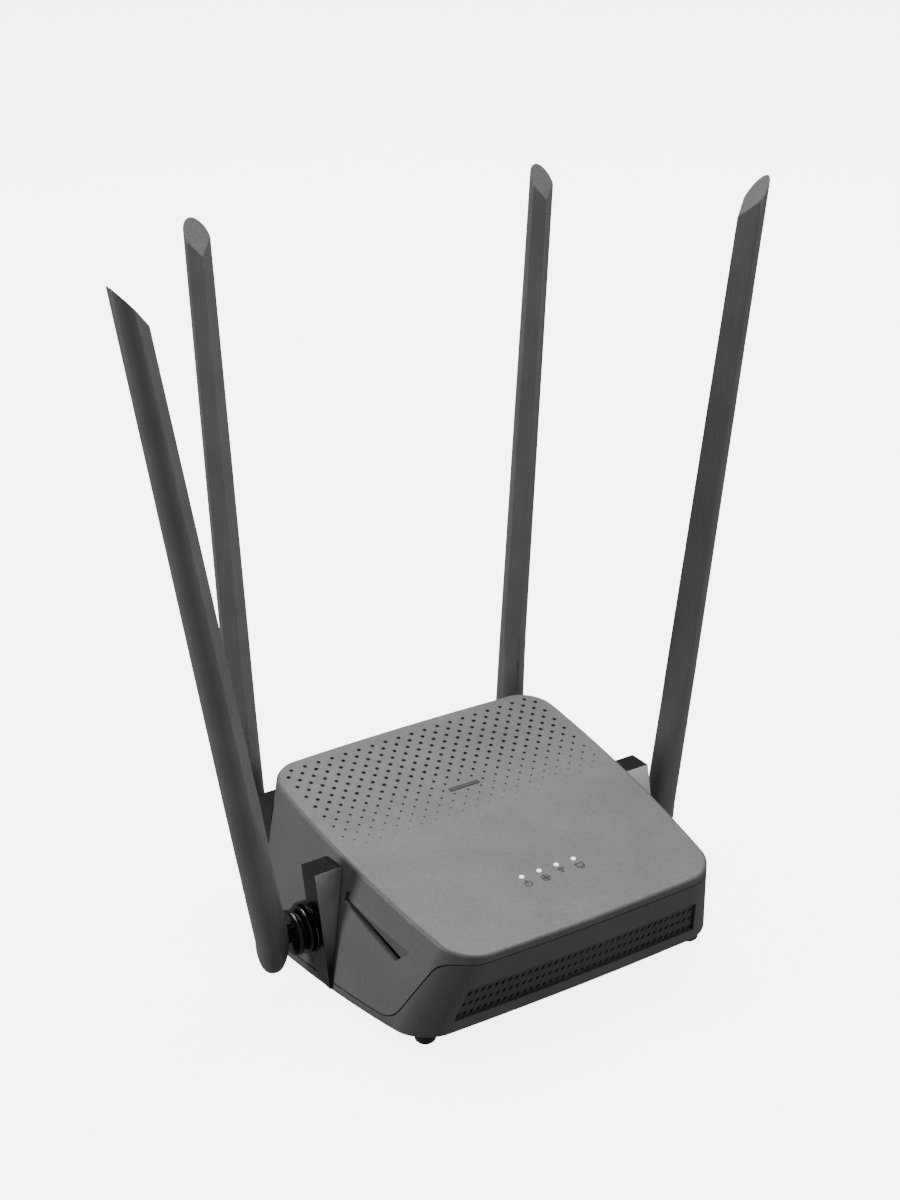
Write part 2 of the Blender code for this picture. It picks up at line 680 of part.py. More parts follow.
def build_rear_panel(root, material):
    low = PART_HEIGHT + GAP * 2
    half = NICHE_HALF - GAP
    panel = make(
        "rear_panel",
        box((-half, PANEL_BACK_Y, low), (half, PANEL_FACE_Y, NICHE_HIGH - GAP)),
        material,
        root,
    )
    near = PANEL_BACK_Y - 0.005
    far = PANEL_FACE_Y + 0.005
    half_port = PORT_WIDTH / 2 + GAP
    low = ON_BOARD - GAP
    high = ON_BOARD + PORT_HEIGHT + GAP
    windows = [
        box((LAN_LAST_X - half_port, near, low), (LAN_FIRST_X + half_port, far, high)),
        box((WAN_X - half_port, near, low), (WAN_X + half_port, far, high)),
        box(
            (DC_X - DC_WIDTH / 2 - GAP, near, low),
            (DC_X + DC_WIDTH / 2 + GAP, far, ON_BOARD + DC_HEIGHT + GAP),
        ),
    ]
    holes = [rod(radius + GAP, "Y", (x, BUTTON_Z), near, far) for x, radius, _, _ in BUTTONS.values()]
    cut(panel, joined(*windows, *holes), "openings")


# --- Inside ----------------------------------------------------------------------------------
def build_board_pieces(root, looks):
    x, front, rear = BOARD_HALF, BOARD_FRONT_Y, BOARD_REAR_Y
    make("main_board", box((-x, front, BOARD_Z), (x, rear, BOARD_TOP)), looks["board"], root)
    low, high = SHIELD_X
    shield = box((low, CHIPS_FRONT_Y, ON_BOARD), (high, CHIPS_REAR_Y, ON_BOARD + SHIELD_HEIGHT))
    make("rf_shield", shield, looks["steel"], root)
    low, high = SINK_X
    block = box((low, CHIPS_FRONT_Y, ON_BOARD), (high, CHIPS_REAR_Y, ON_BOARD + SINK_HEIGHT))
    sink = make("heat_sink", block, looks["alloy"], root)
    fins = np.linspace(low, high - FIN_THICKNESS, FIN_COUNT)
    between = [(a + FIN_THICKNESS, b) for a, b in zip(fins, fins[1:])]
    gaps = [box((a, front, ON_BOARD + SINK_FLOOR), (b, rear, ON_BOARD + 2 * SINK_HEIGHT)) for a, b in between]
    cut(sink, joined(*gaps), "fins")
    low, high = MAGNETICS_X
    magnetics = box((low, MAGNETICS_FRONT_Y, ON_BOARD), (high, MAGNETICS_REAR_Y, ON_BOARD + MAGNETICS_HEIGHT))
    make("line_transformer", magnetics, looks["black"], root)
    place = (DC_X, MAGNETICS_REAR_Y - CAPACITOR_BEHIND)
    can = rod(CAPACITOR_RADIUS, "Z", place, ON_BOARD, ON_BOARD + CAPACITOR_HEIGHT)
    make("capacitor", can, looks["sleeve"], root)


def light_bar(low, thickness):
    """A bar under the whole row of lights."""
    half = (LIGHT_COUNT - 1) / 2 * LIGHT_PITCH + LIGHT_BAR_HALF
    return box((-half, LIGHT_Y - LIGHT_BAR_HALF, low), (half, LIGHT_Y + LIGHT_BAR_HALF, low + thickness))


def build_lights(root, looks):
    places = light_places()
    top = ON_BOARD + LED_BOARD_HEIGHT
    strip = make("led_strip", light_bar(ON_BOARD, LED_BOARD_HEIGHT), looks["led"], root)
    half = LED_HALF
    low, high = top - LED_HEIGHT / 2, top + LED_HEIGHT
    dice = [box((x - half, y - half, low), (x + half, y + half, high)) for x, y in places]
    add(strip, joined(*dice), "dice")
    pipe = make("light_pipe", light_bar(LIGHT_BAR_Z, LIGHT_BAR_THICKNESS), looks["clear"], root)
    foot = top + LED_HEIGHT + GAP
    head = top_height(LIGHT_Y) + LIGHT_PROUD
    posts = [rod(LIGHT_RADIUS, "Z", place, foot, head, ROUND_SMALL) for place in places]
    add(pipe, joined(*posts), "posts")


def build_network_socket(name, x, root, material):
    """One socket for a network plug: a box with a stepped mouth for the plug and its latch."""
    half = PORT_WIDTH / 2
    high = ON_BOARD + PORT_HEIGHT
    block = box((x - half, PORT_BACK_Y, ON_BOARD), (x + half, PORT_FRONT_Y, high))
    socket = make(name, block, material, root)
    low = ON_BOARD + PORT_CAVITY_RAISE
    back = PORT_FRONT_Y - PORT_CAVITY_DEPTH
    out = PORT_FRONT_Y + 0.005
    mouth = PORT_CAVITY_WIDTH / 2
    latch = LATCH_WIDTH / 2
    cut(socket, box((x - mouth, back, low), (x + mouth, out, low + PORT_CAVITY_HEIGHT)), "mouth")
    cut(socket, box((x - latch, back, low - LATCH_DROP), (x + latch, out, low + 0.001)), "latch")


def build_power_socket(root, material):
    half = DC_WIDTH / 2
    back = PORT_FRONT_Y - DC_DEPTH
    centre_z = ON_BOARD + DC_HEIGHT / 2
    socket = make(
        "dc_jack",
        box((DC_X - half, back, ON_BOARD), (DC_X + half, PORT_FRONT_Y, ON_BOARD + DC_HEIGHT)),
        material,
        root,
    )
    bore_back = PORT_FRONT_Y - DC_BORE_DEPTH
    cut(socket, rod(DC_BORE_RADIUS, "Y", (DC_X, centre_z), bore_back, PORT_FRONT_Y + 0.01), "bore")
    add(socket, rod(DC_PIN_RADIUS, "Y", (DC_X, centre_z), bore_back - 0.002, PORT_FRONT_Y - 0.001, 16), "pin")


def build_switches(root, looks):
    """A small upright board with a switch behind each button."""
    left = min(x - half for x, _, _, half in BUTTONS.values()) - SWITCH_BOARD_EDGE
    right = max(x + half for x, _, _, half in BUTTONS.values()) + SWITCH_BOARD_EDGE
    high = BUTTON_Z + SWITCH_HALF_HEIGHT + SWITCH_BOARD_EDGE
    rear = SWITCH_BOARD_REAR_Y
    front = rear - SWITCH_BOARD_THICKNESS
    make("switch_board", box((left, front, ON_BOARD), (right, rear, high)), looks["board"], root)
    for name, (x, _, _, half) in BUTTONS.items():
        low = (x - half, rear + GAP, BUTTON_Z - SWITCH_HALF_HEIGHT)
        high = (x + half, SWITCH_FACE_Y, BUTTON_Z + SWITCH_HALF_HEIGHT)
        make(f"{name}_switch", box(low, high), looks["black"], root)


def build_buttons(root, looks):
    """Each button is a round cap with a flange that keeps it behind the panel."""
    for name, (x, radius, proud, _) in BUTTONS.items():
        travel = empty(f"{name}_travel", root, Matrix.Translation((x, PANEL_FACE_Y, BUTTON_Z)))
        flange_front = PANEL_BACK_Y - GAP - PANEL_FACE_Y
        flange_back = flange_front - BUTTON_FLANGE_THICKNESS
        rim = min(BUTTON_RIM, radius / 4)
        profile = [
            (flange_back, radius + BUTTON_FLANGE),
            (flange_front, radius + BUTTON_FLANGE),
            (flange_front, radius),
            (proud - rim, radius),
            (proud, radius - rim),
        ]
        loops = [[(a, y, b) for a, b in circle(r, sides=16)] for y, r in profile]
        make(f"{name}_button", loft(loops), looks["black"], travel)


def build_feet_and_screws(root, looks):
    for name, (x, y) in FEET.items():
        profile = [
            (FOOT_SOCKET - GAP, FOOT_RADIUS),
            (-FOOT_HEIGHT + FOOT_RIM, FOOT_RADIUS),
            (-FOOT_HEIGHT, FOOT_RADIUS - FOOT_RIM),
        ]
        loops = [[(x + a, y + b, z) for a, b in circle(r, sides=20)] for z, r in profile]
        make(f"foot_{name}", loft(loops), looks["rubber"], root)
    for name, (x, y) in SCREWS.items():
        seat = SCREW_SEAT - GAP
        profile = [
            (SCREW_SUNK, SCREW_HEAD_RADIUS),
            (seat, SCREW_HEAD_RADIUS),
            (seat, SCREW_SHANK_RADIUS),
            (SCREW_TOP, SCREW_SHANK_RADIUS),
        ]
        loops = [[(x + a, y + b, z) for a, b in circle(r, sides=16)] for z, r in profile]
        screw = make(f"case_screw_{name}", loft(loops), looks["steel"], root)
        half, wide = DRIVE_LENGTH / 2, DRIVE_WIDTH / 2
        slot = box((x - half, y - wide, -0.001), (x + half, y + wide, SCREW_SUNK + DRIVE_DEPTH))
        cut(screw, slot, "drive")


# --- Antennas --------------------------------------------------------------------------------
def leaning_rib(foot, head, width, top):
    """A rib's outline in the mount's own Y and Z, from the base to its top."""
    base = -HINGE_Z + BASE_CHAMFER
    return [(foot, base), (foot + width, base), (head + width, top - HINGE_Z), (head, top - HINGE_Z)]


def build_mount(name, place, rib, root, material):
    """A pad and a rib, wedge shaped because the wall behind them leans."""
    mount = make(f"{name}_mount", rod(MOUNT_PAD_RADIUS, "X", (0, 0), -MOUNT_DEPTH, 0), material, place)
    add(mount, prism(rib, "X", RIB_SET - MOUNT_DEPTH, -RIB_SET), "rib")
    apply_tool(mount, hidden(f"tool_{name}_shell", case_body(inset=-GAP), root), "DIFFERENCE", "wall")
    cut(mount, rod(STEM_BORE, "X", (0, 0), -2 * MOUNT_DEPTH, 0.01), "bore")


def ring(start, thickness, radius, name, place, material):
    piece = make(name, disc(start, thickness, radius), material, place)
    cut(piece, rod(STEM_BORE, "X", (0, 0), start - 0.01, start + thickness + 0.01), "bore")
    return piece


def section(width, thickness, facets, crease):
    """The blade's section: round outside, two flat facets meeting in a crease inside.

    facets runs from 0, all round, to 1, fully faceted; crease is its offset over the half
    width.  The section is given as (outward, across) pairs.
    """
    loop = []
    for i in range(8):
        turn = math.pi * (i / 7) - math.pi / 2
        loop.append((thickness / 2 * math.cos(turn), width / 2 * math.sin(turn)))
    for share in (FACET_EDGE, 0.5, 0.0, -0.5, -FACET_EDGE):
        moved = share + crease * (1 - abs(share)) * facets
        side = math.copysign(1, moved - crease)
        flat = -1 + FACET_RISE * abs(moved - crease) / (1 - crease * side)
        rounded = -math.sqrt(1 - share**2)
        reach = rounded * (1 - facets) + flat * facets
        loop.append((thickness / 2 * reach, width / 2 * moved))
    return loop


def build_blade(name, cant, turn, material):
    """The blade, with a rounded root below the axis and a slanted cut at its tip."""
    stations = [(BLADE_BELOW * depth, share, 0.0) for depth, share in BLADE_ROOT]
    turning = ((0.2, 0.0), (0.5, 0.25), (0.76, 0.75), (1.0, 1.0))
    stations += [(BLADE_ROUND_END * share, 1.0, facets) for share, facets in turning]
    for share in (0.4, 0.7, 1.0):
        z = BLADE_ROUND_END + (BLADE_ABOVE - BLADE_ROUND_END) * share
        stations.append((z, 1.0 - (1.0 - BLADE_TIP_SHARE) * share, 1.0))
    loops = []
    for z, share, facets in stations:
        loop = section(BLADE_WIDTH * share, BLADE_THICKNESS * share, facets, CREASE_OFFSET)
        lean = BLADE_CENTRE + math.tan(cant) * max(z, 0.0)
        loops.append([(lean + out, side, z) for out, side in loop])
    blade = make(f"{name}_blade", loft(loops), material, turn)
    tip_x = BLADE_CENTRE + math.tan(cant) * BLADE_ABOVE + BLADE_THICKNESS * BLADE_TIP_SHARE / 2
    past = 0.002
    reach = 4 * BLADE_THICKNESS
    slope = math.tan(TIP_CUT)
    outline = [
        (tip_x + past, BLADE_ABOVE + slope * past),
        (tip_x + past, BLADE_ABOVE + reach),
        (tip_x - reach, BLADE_ABOVE + reach),
        (tip_x - reach, BLADE_ABOVE - slope * reach),
    ]
    cut(blade, prism(outline, "Y", -BLADE_WIDTH, BLADE_WIDTH), "tip")
    hole_end = BLADE_INNER - GAP + SPIGOT_LENGTH + GAP
    cut(blade, rod(SPIGOT_RADIUS + GAP, "X", (0, 0), -0.001, hole_end, 24), "socket")


def build_hub(name, inside, turn, material):
    """The turning disc, with a stem through the wall and a spigot that holds the blade."""
    end = HUB_START + HUB_THICKNESS
    profile = [
        (-inside, STEM_RADIUS),
        (HUB_START, STEM_RADIUS),
        (HUB_START, HUB_RADIUS - DISC_CHAMFER),
        (HUB_START + DISC_CHAMFER, HUB_RADIUS),
        (end - DISC_CHAMFER, HUB_RADIUS),
        (end, HUB_RADIUS - DISC_CHAMFER),
        (end, SPIGOT_RADIUS),
        (end + SPIGOT_LENGTH, SPIGOT_RADIUS),
    ]
    make(f"{name}_hub", turned(profile), material, turn)


def build_antenna(name, kind, spot, heading, rib, cant, rest, root, looks):
    """One antenna in a frame with X outwards along its axis and Z up."""
    frame = Matrix.Translation(spot) @ Matrix.Rotation(heading, 4, "Z")
    fixed = empty(f"{name}_fixed", root, frame)
    turn = empty(f"{name}_swivel", root, frame @ Matrix.Rotation(rest, 4, "X"))
    build_mount(name, fixed, rib, root, looks["gloss"])
    ring(COLLAR_START, COLLAR_THICKNESS, COLLAR_RADIUS, f"{name}_collar", fixed, looks["gloss"])
    ring(WASHER_START, WASHER_THICKNESS, WASHER_RADIUS, f"{name}_washer", fixed, looks["black"])
    inside = STEM_INSIDE[kind]
    build_hub(name, inside, turn, looks["gloss"])
    ring(-inside + CLIP_FROM_END, CLIP_THICKNESS, CLIP_RADIUS, f"{name}_clip", turn, looks["steel"])
    build_blade(name, cant, turn, looks["blade"])


def build_antennas(root, looks):
    for name, side in (("left", -1), ("right", 1)):
        heading = math.pi if side < 0 else 0.0
        rib = leaning_rib(side * SIDE_RIB_FOOT, side * SIDE_RIB_HEAD, side * RIB_WIDTH, SIDE_RIB_TOP)
        spot = (side * SIDE_FACE_X, SIDE_HINGE_Y, HINGE_Z)
        build_antenna(name, "side", spot, heading, rib, SIDE_CANT, -side * SIDE_LEAN, root, looks)
    for name, side in (("rear_left", -1), ("rear_right", 1)):
        rib = leaning_rib(-RIB_WIDTH / 2, -RIB_WIDTH / 2, RIB_WIDTH, REAR_RIB_TOP)
        spot = (side * REAR_HINGE_X, REAR_FACE_Y, HINGE_Z)
        build_antenna(name, "rear", spot, math.pi / 2, rib, 0.0, side * REAR_LEAN, root, looks)


# --- The whole router ------------------------------------------------------------------------
def seat_on_floor(root):
    """Moves the model so that the origin is below its middle, at the feet's underside."""
    bpy.context.view_layer.update()
    graph = bpy.context.evaluated_depsgraph_get()
    low = Vector((math.inf,) * 3)
    high = Vector((-math.inf,) * 3)
    for piece in bpy.data.objects:
        if piece.type != "MESH" or piece.hide_render:
            continue
        solid = piece.evaluated_get(graph)
        for vertex in solid.data.vertices:
            spot = solid.matrix_world @ vertex.co
            low = Vector(map(min, low, spot))
            high = Vector(map(max, high, spot))
    root.location = (-(low.x + high.x) / 2, -(low.y + high.y) / 2, -low.z)


def main():
    for old in list(bpy.data.objects):
        bpy.data.objects.remove(old)
    root = empty("router", None)
    looks = {
        "gloss": plastic("gloss_black", (0.006, 0.006, 0.007), 0.12, coat=0.4),
        "blade": plastic("satin_charcoal", (0.075, 0.075, 0.078), 0.36),
        "board": plastic("circuit_green", (0.012, 0.09, 0.045), 0.45),
        "steel": plastic("plated_steel", (0.55, 0.55, 0.56), 0.30, metallic=1.0),
        "alloy": plastic("anodised_alloy", (0.42, 0.43, 0.45), 0.38, metallic=1.0),
        "black": plastic("moulded_black", (0.014, 0.014, 0.015), 0.42),
        "sleeve": plastic("capacitor_sleeve", (0.02, 0.03, 0.06), 0.35),
        "led": plastic("led_body", (0.85, 0.82, 0.62), 0.40),
        "clear": plastic("clear_light_pipe", (0.85, 0.87, 0.88), 0.10),
        "rubber": plastic("dark_rubber", (0.02, 0.02, 0.02), 0.75),
    }
    build_top_cover(root, plastic("cover_charcoal", (0.105, 0.106, 0.110), 0.52))
    build_bottom_case(root, plastic("base_charcoal", (0.070, 0.071, 0.074), 0.50))
    build_front_grille(root, plastic("grille_charcoal", (0.040, 0.041, 0.043), 0.48))
    build_rear_panel(root, plastic("panel_charcoal", (0.035, 0.036, 0.038), 0.50))
    build_board_pieces(root, looks)
    build_lights(root, looks)
    for i in range(LAN_COUNT):
        build_network_socket(f"lan_jack_{i + 1}", LAN_FIRST_X - i * PORT_PITCH, root, looks["black"])
    build_network_socket("wan_jack", WAN_X, root, looks["black"])
    build_power_socket(root, looks["black"])
    build_switches(root, looks)
    build_buttons(root, looks)
    build_feet_and_screws(root, looks)
    build_antennas(root, looks)
    seat_on_floor(root)


main()
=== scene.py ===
"""Looks of a wireless router with four swivelling blade antennas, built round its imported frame."""

import json
import math

import bmesh
import bpy
import numpy as np
from bpy.props import FloatProperty, FloatVectorProperty, PointerProperty
from mathutils import Matrix, Vector

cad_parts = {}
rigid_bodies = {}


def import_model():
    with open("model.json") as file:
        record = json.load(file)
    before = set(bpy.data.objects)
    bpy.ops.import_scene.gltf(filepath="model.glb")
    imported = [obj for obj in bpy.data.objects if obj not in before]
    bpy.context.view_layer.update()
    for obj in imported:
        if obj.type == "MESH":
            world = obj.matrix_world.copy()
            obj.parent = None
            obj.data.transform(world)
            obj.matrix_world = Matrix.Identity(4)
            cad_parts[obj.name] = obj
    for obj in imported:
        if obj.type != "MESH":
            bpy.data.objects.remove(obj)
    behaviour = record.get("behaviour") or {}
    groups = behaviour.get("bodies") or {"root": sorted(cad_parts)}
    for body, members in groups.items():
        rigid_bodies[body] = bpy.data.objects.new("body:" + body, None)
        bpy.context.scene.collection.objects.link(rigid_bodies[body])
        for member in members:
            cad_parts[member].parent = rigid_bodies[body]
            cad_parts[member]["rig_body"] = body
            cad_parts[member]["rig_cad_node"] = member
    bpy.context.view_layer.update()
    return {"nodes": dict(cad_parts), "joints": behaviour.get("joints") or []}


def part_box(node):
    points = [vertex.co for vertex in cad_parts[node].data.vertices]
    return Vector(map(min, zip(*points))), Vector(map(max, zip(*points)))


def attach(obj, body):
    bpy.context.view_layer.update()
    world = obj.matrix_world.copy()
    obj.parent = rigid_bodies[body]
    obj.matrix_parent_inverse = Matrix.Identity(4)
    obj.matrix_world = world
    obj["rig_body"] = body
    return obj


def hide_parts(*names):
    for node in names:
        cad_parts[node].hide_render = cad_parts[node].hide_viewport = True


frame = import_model()

bl_info = {
    "name": "Wireless router",
    "version": (1, 0, 0),
    "blender": (4, 5, 0),
    "location": "3D View > Sidebar > Router",
    "description": "Builds the visible pieces of a wireless router and its studio",
    "category": "Object",
}

# --- The case, in metres from under the middle of its top, at the base's underside -----------
BASE_FRONT_HALF = 0.0580
BASE_REAR_HALF = 0.0680
TOP_FRONT_HALF = 0.0492
TOP_REAR_HALF = 0.0543
TOP_DEPTH = 0.1090
FRONT_Y = -TOP_DEPTH / 2
REAR_Y = TOP_DEPTH / 2
FRONT_SETBACK = 0.0103
REAR_SETBACK = 0.0091
FRONT_HEIGHT = 0.0321
REAR_HEIGHT = 0.0495
SIDE_SAG = 0.0030
END_SAG = 0.0012
CORNER_RADIUS = 0.0105
TOP_EDGE_RADIUS = 0.0012
BASE_CHAMFER = 0.0009
WALL = 0.0020
FLOOR = 0.0018
ROOF = 0.0020
GAP = 0.0003
EDGE_STEPS = 14
CORNER_STEPS = 14
ARC_HANDLE = 0.5523  # handle of a quarter circle drawn as one cubic curve
PART_HEIGHT = 0.0028
PART_SEAM = 0.00045  # width of the line between the cover and the base
PART_FOOT_Y = FRONT_Y + 0.0230
PART_KNEE_Y = FRONT_Y + 0.0090
PART_LIP = FRONT_HEIGHT - 0.0034
PART_CORNER = 0.0055
SLOT_REAR = (FRONT_Y + 0.0535, 0.0300)
SLOT_FRONT = (FRONT_Y + 0.0260, 0.0215)
SLOT_WIDTH = 0.0019
NOTCH_HEIGHT = 0.0024
FACET_CORNER = (FRONT_Y + 0.0210, 0.0262)
FACET_DEPTH = 0.0014
PANEL_FACE_Y = REAR_Y - 0.0094
SLOPE = math.atan((REAR_HEIGHT - FRONT_HEIGHT) / TOP_DEPTH)
SHIFT = Vector((0.0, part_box("rear_panel")[1].y - PANEL_FACE_Y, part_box("bottom_case")[0].z))

NICHE_LIP = 0.0020  # width of the frame round the rear panel
STEM_HOLE = 0.0035  # radius of the holes that the antennas' stems pass through
STEM_REACH = 0.016  # half length of the rods that make them
LIGHT_HOLE = 0.00095
SCREW_SEAT = 0.0021  # how far the screws' heads lie above the underside
VENT_ROWS = 16
VENT_COLUMNS = 19
VENT_FULL_ROWS = 7  # rows from the rear that keep the full size
GRILLE_COLUMNS = 36
GRILLE_HEIGHTS = (0.0159, 0.0117, 0.0074)  # of its rows of slots

CASE = "case"
ANTENNAS = {  # name: heading of its axis, turn at rest, outward lean of the blade
    "left": (math.pi, math.radians(2), math.radians(9)),
    "right": (0.0, math.radians(-2), math.radians(9)),
    "rear_left": (math.pi / 2, math.radians(-3), 0.0),
    "rear_right": (math.pi / 2, math.radians(3), 0.0),
}


def length(name, description, default):
    return FloatProperty(name=name, description=description, default=default, unit="LENGTH")


class RouterSizes(bpy.types.PropertyGroup):
    """Sizes of the details that the frame leaves closed."""

    vent_radius: length("Vent radius", "Of the largest holes", 0.00074)
    vent_least: length("Least vent radius", "Of the front row", 0.00022)
    vent_pitch: length("Vent pitch", "Between holes of a row", 0.00525)
    vent_row: length("Row spacing", "Between rows of holes", 0.00287)
    slot_pitch: length("Grille pitch", "Between grille slots", 0.00245)
    slot_width: length("Grille slot", "Width of a grille slot", 0.0010)
    slot_height: length("Slot height", "Of a grille slot", 0.0015)
    grain: length("Grain", "Size of the plastic's texture", 0.00042)


def colour(name, value):
    described = {"name": name, "description": f"{name} colour", "default": value}
    return FloatVectorProperty(subtype="COLOR", size=3, **described)


class RouterColours(bpy.types.PropertyGroup):
    """Main colours."""

    cover: colour("Cover", (0.112, 0.113, 0.115))
    base: colour("Base", (0.092, 0.093, 0.095))
    grille: colour("Grille", (0.050, 0.050, 0.052))
    panel: colour("Rear panel", (0.040, 0.041, 0.043))
    blade: colour("Blades", (0.145, 0.145, 0.148))
    gloss: colour("Gloss black", (0.004, 0.004, 0.0045))
    floor: colour("Floor", (0.86, 0.86, 0.86))


# --- Selecting, placing and finishing ---------------------------------------------------------
def clear_selection():
    bpy.ops.object.select_all(action="DESELECT")


def active(piece):
    clear_selection()
    piece.select_set(True)
    bpy.context.view_layer.objects.active = piece
    return piece


def added(name):
    """Names the primitive that was just added and puts its place in its mesh."""
    piece = bpy.context.active_object
    piece.name = name
    piece.data.name = name
    active(piece)
    bpy.ops.object.transform_apply(location=True, rotation=True, scale=True)
    return piece


def block(name, low, high):
    low, high = Vector(low), Vector(high)
    bpy.ops.mesh.primitive_cube_add(size=1, location=(low + high) / 2, scale=high - low)
    return added(name)


def rod(name, radius, axis, centre, low, high, sides=48):
    """A cylinder along an axis, at a centre in the plane across it."""
    a, b = centre
    middle = (low + high) / 2
    place = {"X": (middle, a, b), "Y": (a, middle, b), "Z": (a, b, middle)}[axis]
    turn = {"X": (0, math.pi / 2, 0), "Y": (math.pi / 2, 0, 0), "Z": (0, 0, 0)}[axis]
    bpy.ops.mesh.primitive_cylinder_add(
        vertices=sides, radius=radius, depth=high - low, location=place, rotation=turn
    )
    return added(name)


def ring_solid(name, rings):
    """A closed solid: a flat loop, extruded once for each further ring of points."""
    bpy.ops.mesh.primitive_circle_add(vertices=len(rings[0]), fill_type="NGON")
    piece = added(name)
    for vertex, point in zip(piece.data.vertices, rings[0]):
        vertex.co = point
    bpy.ops.object.mode_set(mode="EDIT")
    bpy.ops.mesh.select_all(action="SELECT")
    work = bmesh.from_edit_mesh(piece.data)
    order = list(work.verts)
    for ring in rings[1:]:
        places = {tuple(v.co): i for i, v in enumerate(order)}
        bpy.ops.mesh.extrude_region_move()
        work = bmesh.from_edit_mesh(piece.data)
        fresh = [v for v in work.verts if v.select]
        order = sorted(fresh, key=lambda v: places[tuple(v.co)])
        for vertex, point in zip(order, ring):
            vertex.co = point
        bmesh.update_edit_mesh(piece.data)
    bpy.ops.mesh.select_all(action="SELECT")
    bpy.ops.mesh.normals_make_consistent(inside=False)
    bpy.ops.object.mode_set(mode="OBJECT")
    return piece


def plate(name, outline, axis, low, high):
    """A flat outline pulled from low to high along an axis."""
    spot = "XYZ".index(axis)
    rings = [[(*pair[:spot], level, *pair[spot:]) for pair in outline] for level in (low, high)]
    return ring_solid(name, rings)


def lathe(name, profile, sides=64):
    """A round solid about X, from (x, radius) pairs."""
    turns = [2 * math.pi * i / sides for i in range(sides)]
    rings = [[(x, r * math.cos(t), r * math.sin(t)) for t in turns] for x, r in profile]
    return ring_solid(name, rings)


def triangulate(piece):
    active(piece)
    bpy.ops.object.mode_set(mode="EDIT")
    bpy.ops.mesh.select_all(action="SELECT")
    bpy.ops.mesh.quads_convert_to_tris()
    bpy.ops.object.mode_set(mode="OBJECT")
    return piece


def apply_modifier(piece, kind, **settings):
    change = piece.modifiers.new(kind.lower(), kind)
    for key, value in settings.items():
        setattr(change, key, value)
    active(piece)
    bpy.ops.object.modifier_apply(modifier=change.name)


def carve(piece, tool, operation="DIFFERENCE"):
    """Cuts, joins or keeps what a tool covers, and removes the tool."""
    apply_modifier(piece, "BOOLEAN", operation=operation, solver="EXACT", object=tool)
    bpy.data.objects.remove(tool)


def together(name, pieces):
    """Several objects as one."""
    clear_selection()
    for piece in pieces:
        piece.select_set(True)
    bpy.context.view_layer.objects.active = pieces[0]
    if len(pieces) > 1:
        bpy.ops.object.join()
    pieces[0].name = name
    return pieces[0]


def row_of(piece, count, step):
    """Repeats a piece in a straight row."""
    offset = {"use_relative_offset": False, "use_constant_offset": True, "constant_offset_displace": step}
    apply_modifier(piece, "ARRAY", count=count, **offset)
    return piece


def smooth(piece, angle=30, weighted=True):
    active(piece)
    bpy.ops.object.shade_smooth_by_angle(angle=math.radians(angle))
    if weighted:
        apply_modifier(piece, "WEIGHTED_NORMAL", keep_sharp=True, weight=80)
    return piece


def refined(node, name, width=0.0003, segments=2, angle=40):
    """A copy of a frame node with its triangles merged and its edges rounded."""
    piece = frame["nodes"][node].copy()
    piece.data = piece.data.copy()
    piece.name = name
    piece.data.name = name
    piece.parent = None
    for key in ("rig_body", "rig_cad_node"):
        del piece[key]
    piece.data.materials.clear()
    bpy.context.collection.objects.link(piece)
    active(piece)
    bpy.ops.mesh.customdata_custom_splitnormals_clear()
    bpy.ops.object.mode_set(mode="EDIT")
    bpy.ops.mesh.select_all(action="SELECT")
    bpy.ops.mesh.remove_doubles(threshold=1e-6)
    bpy.ops.mesh.dissolve_limited(angle_limit=math.radians(1.5))
    bpy.ops.object.mode_set(mode="OBJECT")
    if width:
        limit = {"limit_method": "ANGLE", "angle_limit": math.radians(angle), "use_clamp_overlap": True}
        apply_modifier(piece, "BEVEL", width=width, segments=segments, **limit)
    return smooth(piece)


def finish_piece(piece, body, material, slot, *nodes):
    """Gives a piece its material and its body, and hides the frame nodes it stands for."""
    piece.data.materials.clear()
    piece.data.materials.append(material)
    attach(piece, body)
    if nodes:
        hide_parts(*nodes)
    return piece


def dress(node, material):
    """Gives a carried-over frame node its material."""
    node = frame["nodes"][node]
    node.data.materials.clear()
    node.data.materials.append(material)


# --- Materials --------------------------------------------------------------------------------
class Value:
    """A socket's value that takes Python's arithmetic and adds a Math node for each operation."""

    def __init__(self, finish, socket):
        self.finish = finish
        self.socket = socket

    def math(self, operation, other):
        return self.finish.node("ShaderNodeMath", {"operation": operation}, {0: self, 1: other})

    def __add__(self, other):
        return self.math("ADD", other)

    def __mul__(self, other):
        return self.math("MULTIPLY", other)

    def __lt__(self, other):
        return self.math("LESS_THAN", other)

    __radd__ = __add__
    __rmul__ = __mul__


